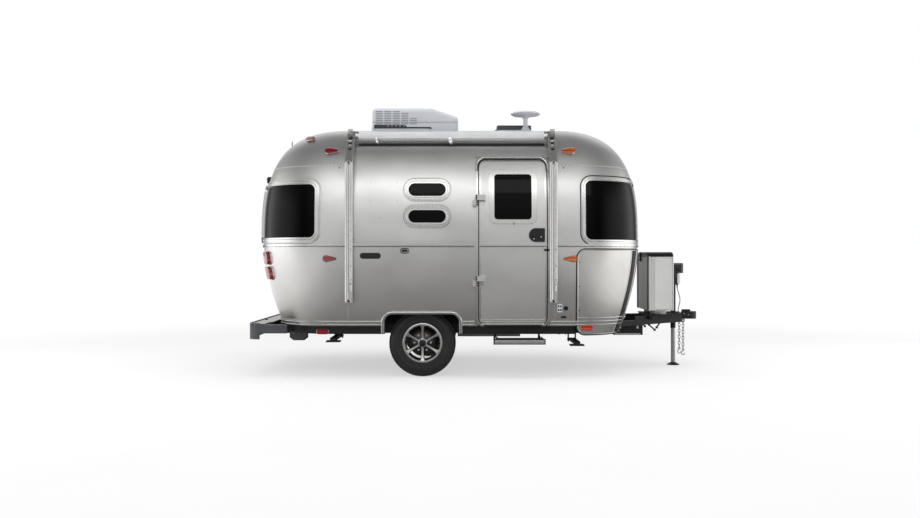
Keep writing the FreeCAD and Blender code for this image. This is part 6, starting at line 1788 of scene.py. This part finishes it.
class CARAVAN_OT_entry_step(bpy.types.Operator):
    """Tread plate with its grip buttons and bright nose strip, and soft-edged links"""
    bl_idname = "caravan.entry_step"
    bl_label = "Entry step"

    def execute(self, context):
        softened("step_tread", "step_tread_plate", [CHASSIS], "step", 0.0012)
        softened("step_lead_links", "step_front_links", [CHASSIS], "step_arms",
                 0.001)
        softened("step_follower_links", "step_back_links", [CHASSIS],
                 "step_rear_arms", 0.001)
        spots = [Vector((0.135 + 0.026 * i, -1.252 + 0.024 * j, 0.407)) for i in range(17) for j in range(6)
                 if j not in (1, 3, 4) or i % 2]
        rivets("step_grip_buttons", spots, (0, 0, 1), CHASSIS,
               "step", 0.011, 0.35)
        nose = Shape()
        line = straight((0.086, -1.275, 0.381), (0.599, -1.275, 0.381), 8)
        nose.swept(line, (0, -1, 0), strip(0.038, 0.003))
        nose.swept([p + Vector((0, 0, 0.0085)) for p in line], (0, -1, 0), half_round(0.012, 0.006))
        place_piece("step_nose_strip", nose, [BRIGHT], "step")
        return {"FINISHED"}


class CARAVAN_OT_wall_fittings(bpy.types.Operator):
    """Badge plate left bare, ports and outlets, service hatch, blank plate holder and rear camera"""
    bl_idname = "caravan.wall_fittings"
    bl_label = "Wall fittings"

    def execute(self, context):
        plates = softened("wall_fittings", "wall_plates", [BLACK], "caravan",
                          0.002)
        repainted(plates, "satin_painted_cover", lambda middle, normal: middle.y > 0.6)
        repainted(plates, WHITE,
                  lambda middle, normal: 0.73 < middle.x < 0.797 and middle.y < -0.6)
        rings, darks = Shape(), Shape()
        line = on_side(rounded((-0.878, -0.807), (1.3025, 1.3355), 0.015, 0.02, 5), CURB)
        rings.laid(line, half_round(0.007, 0.0035), 0.007, closed=True)
        for side, (x, z), radius in ((STREET, ((-1.330, -1.110), (0.690, 1.010)), 0.030),
                                     (STREET, ((0.560, 0.660), (0.760, 0.860)), 0.048),
                                     (STREET, ((0.240, 0.440), (2.090, 2.150)), 0.012)):
            line = on_side(rounded(x, z, radius), side)
            rings.laid(line, half_round(0.014, 0.010), closed=True)
        rings.turned(button(0.016, 0.0, 0.004, 0.010, 0.006),
                     beside(-1.145, 0.850, STREET, 0.007), (0, 1, 0), 24)
        place_piece("fitting_rings", rings, [BRIGHT])
        for z in (0.7045, 0.7425):
            for x in (0.7535, 0.7755):
                spot = beside(x, z, CURB, 0.0075)
                darks.block((x - 0.0075, spot.y - 0.002, z - 0.0115),
                            (x + 0.0075, spot.y + 0.004, z + 0.0115))
        spot = beside(0.803, 0.630, CURB)
        darks.prism(rounded((0.776, 0.832), (0.619, 0.641), 0.008, 0.02, 4), "y",
                    (spot.y - 0.011, spot.y + 0.006))
        for u0 in (0.580, 0.600, 0.620, 0.640):
            p = beside(u0, 0.810, STREET)
            darks.block((u0 - 0.005, p.y - 0.004, 0.775), (u0 + 0.005, p.y + 0.006, 0.845))
        for row in range(4):
            p = beside(0.340, 2.100 + 0.013 * row, STREET)
            darks.block((0.255, p.y - 0.006, 2.0985 + 0.013 * row),
                        (0.425, p.y + 0.005, 2.1065 + 0.013 * row))
        place_piece("fitting_inserts", darks, [BLACK], edge=0.001)

        plate = Shape()
        line = on_end(rounded((-0.160, 0.160), (1.020, 1.180), 0.012), REAR)
        plate.laid(line, strip(0.012, 0.010), closed=True)
        rows = [[at_end(-0.152 + 0.038 * i, 1.028 + 0.018 * j, REAR, 0.002) for i in range(9)]
                for j in range(9)]
        plate.finish = 1
        plate.sheet(rows, 0.003)
        plate.finish = 0
        lamp = at_end(0.0, 1.205, REAR)
        plate.block((lamp.x - 0.022, -0.040, 1.193), (lamp.x + 0.006, 0.040, 1.213))
        place_piece("blank_plate_holder", plate, [BLACK, WHITE])

        eye = Shape()
        camera = (REAR_SEAM - REAR_DEPTH - 0.044, 0.0, 2.152)
        eye.turned([(0.0, -0.006), (0.014, -0.004), (0.022, 0.001), (0.030, 0.002), (0.030, -0.002),
                    (0.034, -0.003), (0.036, 0.001), (0.036, 0.006), (0.0, 0.006)],
                   camera, (-1, 0, 0), 32)
        place_piece("rear_camera_eye", eye, ["deep_tinted_glass"])
        return {"FINISHED"}


class CARAVAN_OT_underside(bpy.types.Operator):
    """Stabiliser legs with soft edges, gas and brake lines and their clips"""
    bl_idname = "caravan.underside"
    bl_label = "Underside"

    def execute(self, context):
        for end in ("front", "rear"):
            for side in ("left", "right"):
                softened("stabilizer_%s_%s" % (end, side), "leg_%s_%s" % (end, side),
                         [CHASSIS], "leg_%s_%s" % (end, side), 0.0015)
        gas = [Vector((1.020, -0.560, 0.470)), Vector((0.700, -0.600, 0.452)), Vector((0.2, -0.640, 0.447)),
               Vector((-0.4, -0.640, 0.447)), Vector((-1.1, -0.640, 0.447)), Vector((-1.5, -0.620, 0.452))]
        brake = [Vector((1.040, 0.500, 0.470)), Vector((0.600, 0.600, 0.452)), Vector((0.0, 0.640, 0.447)),
                 Vector((-0.5, 0.640, 0.447)), Vector((-0.640, 0.600, 0.420))]
        beads("gas_line", [(gas, False)], 0.006, ZINC)
        beads("brake_line", [(brake, False)], 0.005, RUBBER)
        clips = [Vector((x, -0.640, 0.447)) for x in (-1.0, -0.6, -0.2, 0.1)]
        blocks("gas_line_clips", clips, (0, 0, -1), (1, 0, 0),
               (0.020, 0.030, 0.016), RUBBER)
        return {"FINISHED"}


def lay_floor(context):
    """Pale floor that keeps the shadow, fades into the backdrop and is dimmer where metal mirrors it."""
    white, half = (1, 1, 1, 1), 30.0
    material = bpy.data.materials.new("pale_studio_floor")
    material.use_nodes = True
    tree = material.node_tree
    tree.nodes.clear()
    place = add(tree, "ShaderNodeTexCoord").outputs["Object"]
    mottle = add(tree, "ShaderNodeTexNoise", None, {"Vector": place, "Scale": 1 / 0.8}).outputs["Fac"]
    paint = add(tree, "ShaderNodeBsdfDiffuse", None,
                {"Color": mixed(tree, mottle, linear("#B2B2B2"), linear("#B8B8B8"))})
    lift = add(tree, "ShaderNodeEmission", None, {"Color": white, "Strength": 0.56})
    near = add(tree, "ShaderNodeAddShader", None, {0: paint.outputs[0], 1: lift.outputs[0]})
    far = add(tree, "ShaderNodeEmission", None, {"Color": white, "Strength": 1.0})
    radius = add(tree, "ShaderNodeVectorMath", {"operation": "LENGTH"}, {0: place}).outputs["Value"]
    blend = add(tree, "ShaderNodeMixShader", None,
                {0: ranged(tree, radius, 0.0, 1.0, (4.5, 9.0), True),
                 1: near.outputs[0], 2: far.outputs[0]})
    split = add(tree, "ShaderNodeSeparateXYZ", None, {"Vector": place})
    aside = result_of(tree, "ABSOLUTE", split.outputs["X"])
    glow = result_of(tree, "ADD", ranged(tree, radius, 0.12, 0.42, (2.0, 26.0)),
                     ranged(tree, aside, 0.0, 1.1, (2.9, 5.2), True))
    mirrored = add(tree, "ShaderNodeEmission", None, {"Strength": glow})
    rays = add(tree, "ShaderNodeLightPath")
    whole = add(tree, "ShaderNodeMixShader", None,
                {0: rays.outputs["Is Glossy Ray"], 1: blend.outputs[0], 2: mirrored.outputs[0]})
    add(tree, "ShaderNodeOutputMaterial", None, {"Surface": whole.outputs[0]})
    mesh = bpy.data.meshes.new("studio_floor")
    mesh.from_pydata([(-half, -half, 0), (half, -half, 0), (half, half, 0), (-half, half, 0)],
                     [], [(0, 1, 2, 3)])
    mesh.materials.append(material)
    floor = bpy.data.objects.new("studio_floor", mesh)
    context.scene.collection.objects.link(floor)


def hang_backdrop(context):
    """White backdrop, with the grey bands and bright screens that the metal mirrors."""
    white = (1, 1, 1, 1)
    world = bpy.data.worlds.new("white_studio")
    context.scene.world = world
    world.use_nodes = True
    tree = world.node_tree
    tree.nodes.clear()
    rays = add(tree, "ShaderNodeLightPath")
    sight = add(tree, "ShaderNodeTexCoord").outputs["Generated"]
    split = add(tree, "ShaderNodeSeparateXYZ", None, {"Vector": sight})
    sky = add(tree, "ShaderNodeValToRGB", None, {"Fac": split.outputs["Z"]})
    stops = ((0.0, "#9E9E9E"), (0.09, "#B6B6B6"), (0.22, "#D0D0D0"), (0.48, "#E2E2E2"),
             (0.64, "#CDCDCD"), (0.75, "#A4A4A4"), (0.88, "#727272"), (1.0, "#585858"))
    ramp = sky.color_ramp
    while len(ramp.elements) < len(stops):
        ramp.elements.new(0.5)
    for element, (spot, code) in zip(ramp.elements, stops):
        element.position, element.color = spot, linear(code)
    aside = result_of(tree, "ABSOLUTE", split.outputs["X"])
    wall = add(tree, "ShaderNodeBackground", None,
               {"Color": sky.outputs["Color"],
                "Strength": ranged(tree, aside, 1.25, 0.42, (0.30, 0.62), True)})
    glow = result_of(tree, "MULTIPLY", ranged(tree, aside, 0.0, 1.9, (0.58, 0.97), True),
                     ranged(tree, split.outputs["Z"], 1.0, 0.0, (0.15, 0.50), True))
    screens = add(tree, "ShaderNodeBackground", None, {"Strength": glow})
    gloss = add(tree, "ShaderNodeAddShader", None, {0: wall.outputs[0], 1: screens.outputs[0]})
    fill = add(tree, "ShaderNodeBackground", None, {"Color": white, "Strength": 0.62})
    backdrop = add(tree, "ShaderNodeBackground", None, {"Color": white, "Strength": 1.0})
    seen = add(tree, "ShaderNodeMixShader", None,
               {0: rays.outputs["Is Glossy Ray"], 1: fill.outputs[0], 2: gloss.outputs[0]})
    through = result_of(tree, "MAXIMUM", rays.outputs["Is Camera Ray"],
                        rays.outputs["Is Transmission Ray"])
    whole = add(tree, "ShaderNodeMixShader", None,
                {0: through, 1: seen.outputs[0], 2: backdrop.outputs[0]})
    add(tree, "ShaderNodeOutputWorld", None, {"Surface": whole.outputs[0]})


def set_lamps(context):
    """Four soft boxes; only the long one shows as a streak in the metal."""
    lamps = (("long_softbox", (0.0, -8.0, 5.3), (10.0, 1.6), 70.0),
             ("top_softbox", (0.0, -1.0, 7.5), (7.0, 3.0), 140.0),
             ("rear_softbox", (-6.7, -2.3, 1.45), (6.5, 2.7), 110.0),
             ("front_softbox", (6.7, -1.5, 1.45), (7.2, 2.7), 120.0))
    for name, spot, (width, height), power in lamps:
        lamp = bpy.data.lights.new(name, "AREA")
        lamp.shape, lamp.size, lamp.size_y, lamp.energy = "RECTANGLE", width, height, power
        holder = bpy.data.objects.new(name, lamp)
        context.scene.collection.objects.link(holder)
        holder.location = spot
        aim = Vector((math.copysign(1.8, spot[0]) if spot[0] else 0.0, -1.0, 1.3)) - Vector(spot)
        holder.rotation_euler = aim.to_track_quat("-Z", "Y").to_euler()
        holder.visible_glossy = name == "long_softbox"


class CARAVAN_OT_studio(bpy.types.Operator):
    """Pale floor, white backdrop, soft lamps and the camera of the photograph"""
    bl_idname = "caravan.studio"
    bl_label = "Studio"

    def execute(self, context):
        lay_floor(context)
        hang_backdrop(context)
        set_lamps(context)
        camera = bpy.data.cameras.new("photo_camera")
        camera.sensor_width, camera.lens = 36.0, 35.41
        holder = bpy.data.objects.new("photo_camera", camera)
        context.scene.collection.objects.link(holder)
        holder.location = (-0.270, -10.576, 1.2335)
        holder.rotation_euler = (math.pi / 2, 0, 0)
        context.scene.camera = holder
        context.scene.view_settings.view_transform = "Standard"
        return {"FINISHED"}


class CARAVAN_PT_pieces(bpy.types.Panel):
    """Buttons for the caravan's pieces"""
    bl_idname = "CARAVAN_PT_pieces"
    bl_label = "Travel caravan"
    bl_space_type = "VIEW_3D"
    bl_region_type = "UI"
    bl_category = "Caravan"

    def draw(self, context):
        column = self.layout.column()
        for group_of_values in (context.scene.caravan_sizes, context.scene.caravan_colours):
            for key in group_of_values.__annotations__:
                column.prop(group_of_values, key)
        for piece in OPERATORS:
            column.operator(piece.bl_idname)


OPERATORS = [CARAVAN_OT_finishes, CARAVAN_OT_jack_lead, CARAVAN_OT_sheet_seams, CARAVAN_OT_wall_screws,
             CARAVAN_OT_end_windows, CARAVAN_OT_side_windows, CARAVAN_OT_entrance_door,
             CARAVAN_OT_rails, CARAVAN_OT_wheels, CARAVAN_OT_roof_gear, CARAVAN_OT_awning,
             CARAVAN_OT_lamps, CARAVAN_OT_stone_guards, CARAVAN_OT_gas_cover,
             CARAVAN_OT_tongue_gear, CARAVAN_OT_bumper, CARAVAN_OT_entry_step,
             CARAVAN_OT_wall_fittings, CARAVAN_OT_underside, CARAVAN_OT_studio]
CLASSES = [CaravanSizes, CaravanColours, *OPERATORS, CARAVAN_PT_pieces]


def register():
    for kind in CLASSES:
        bpy.utils.register_class(kind)
    bpy.types.Scene.caravan_sizes = bpy.props.PointerProperty(type=CaravanSizes)
    bpy.types.Scene.caravan_colours = bpy.props.PointerProperty(type=CaravanColours)


def unregister():
    del bpy.types.Scene.caravan_colours
    del bpy.types.Scene.caravan_sizes
    for kind in reversed(CLASSES):
        bpy.utils.unregister_class(kind)


def main():
    register()
    for piece in OPERATORS:
        group_name, operation = piece.bl_idname.split(".")
        getattr(getattr(bpy.ops, group_name), operation)()


if __name__ == "__main__":
    main()
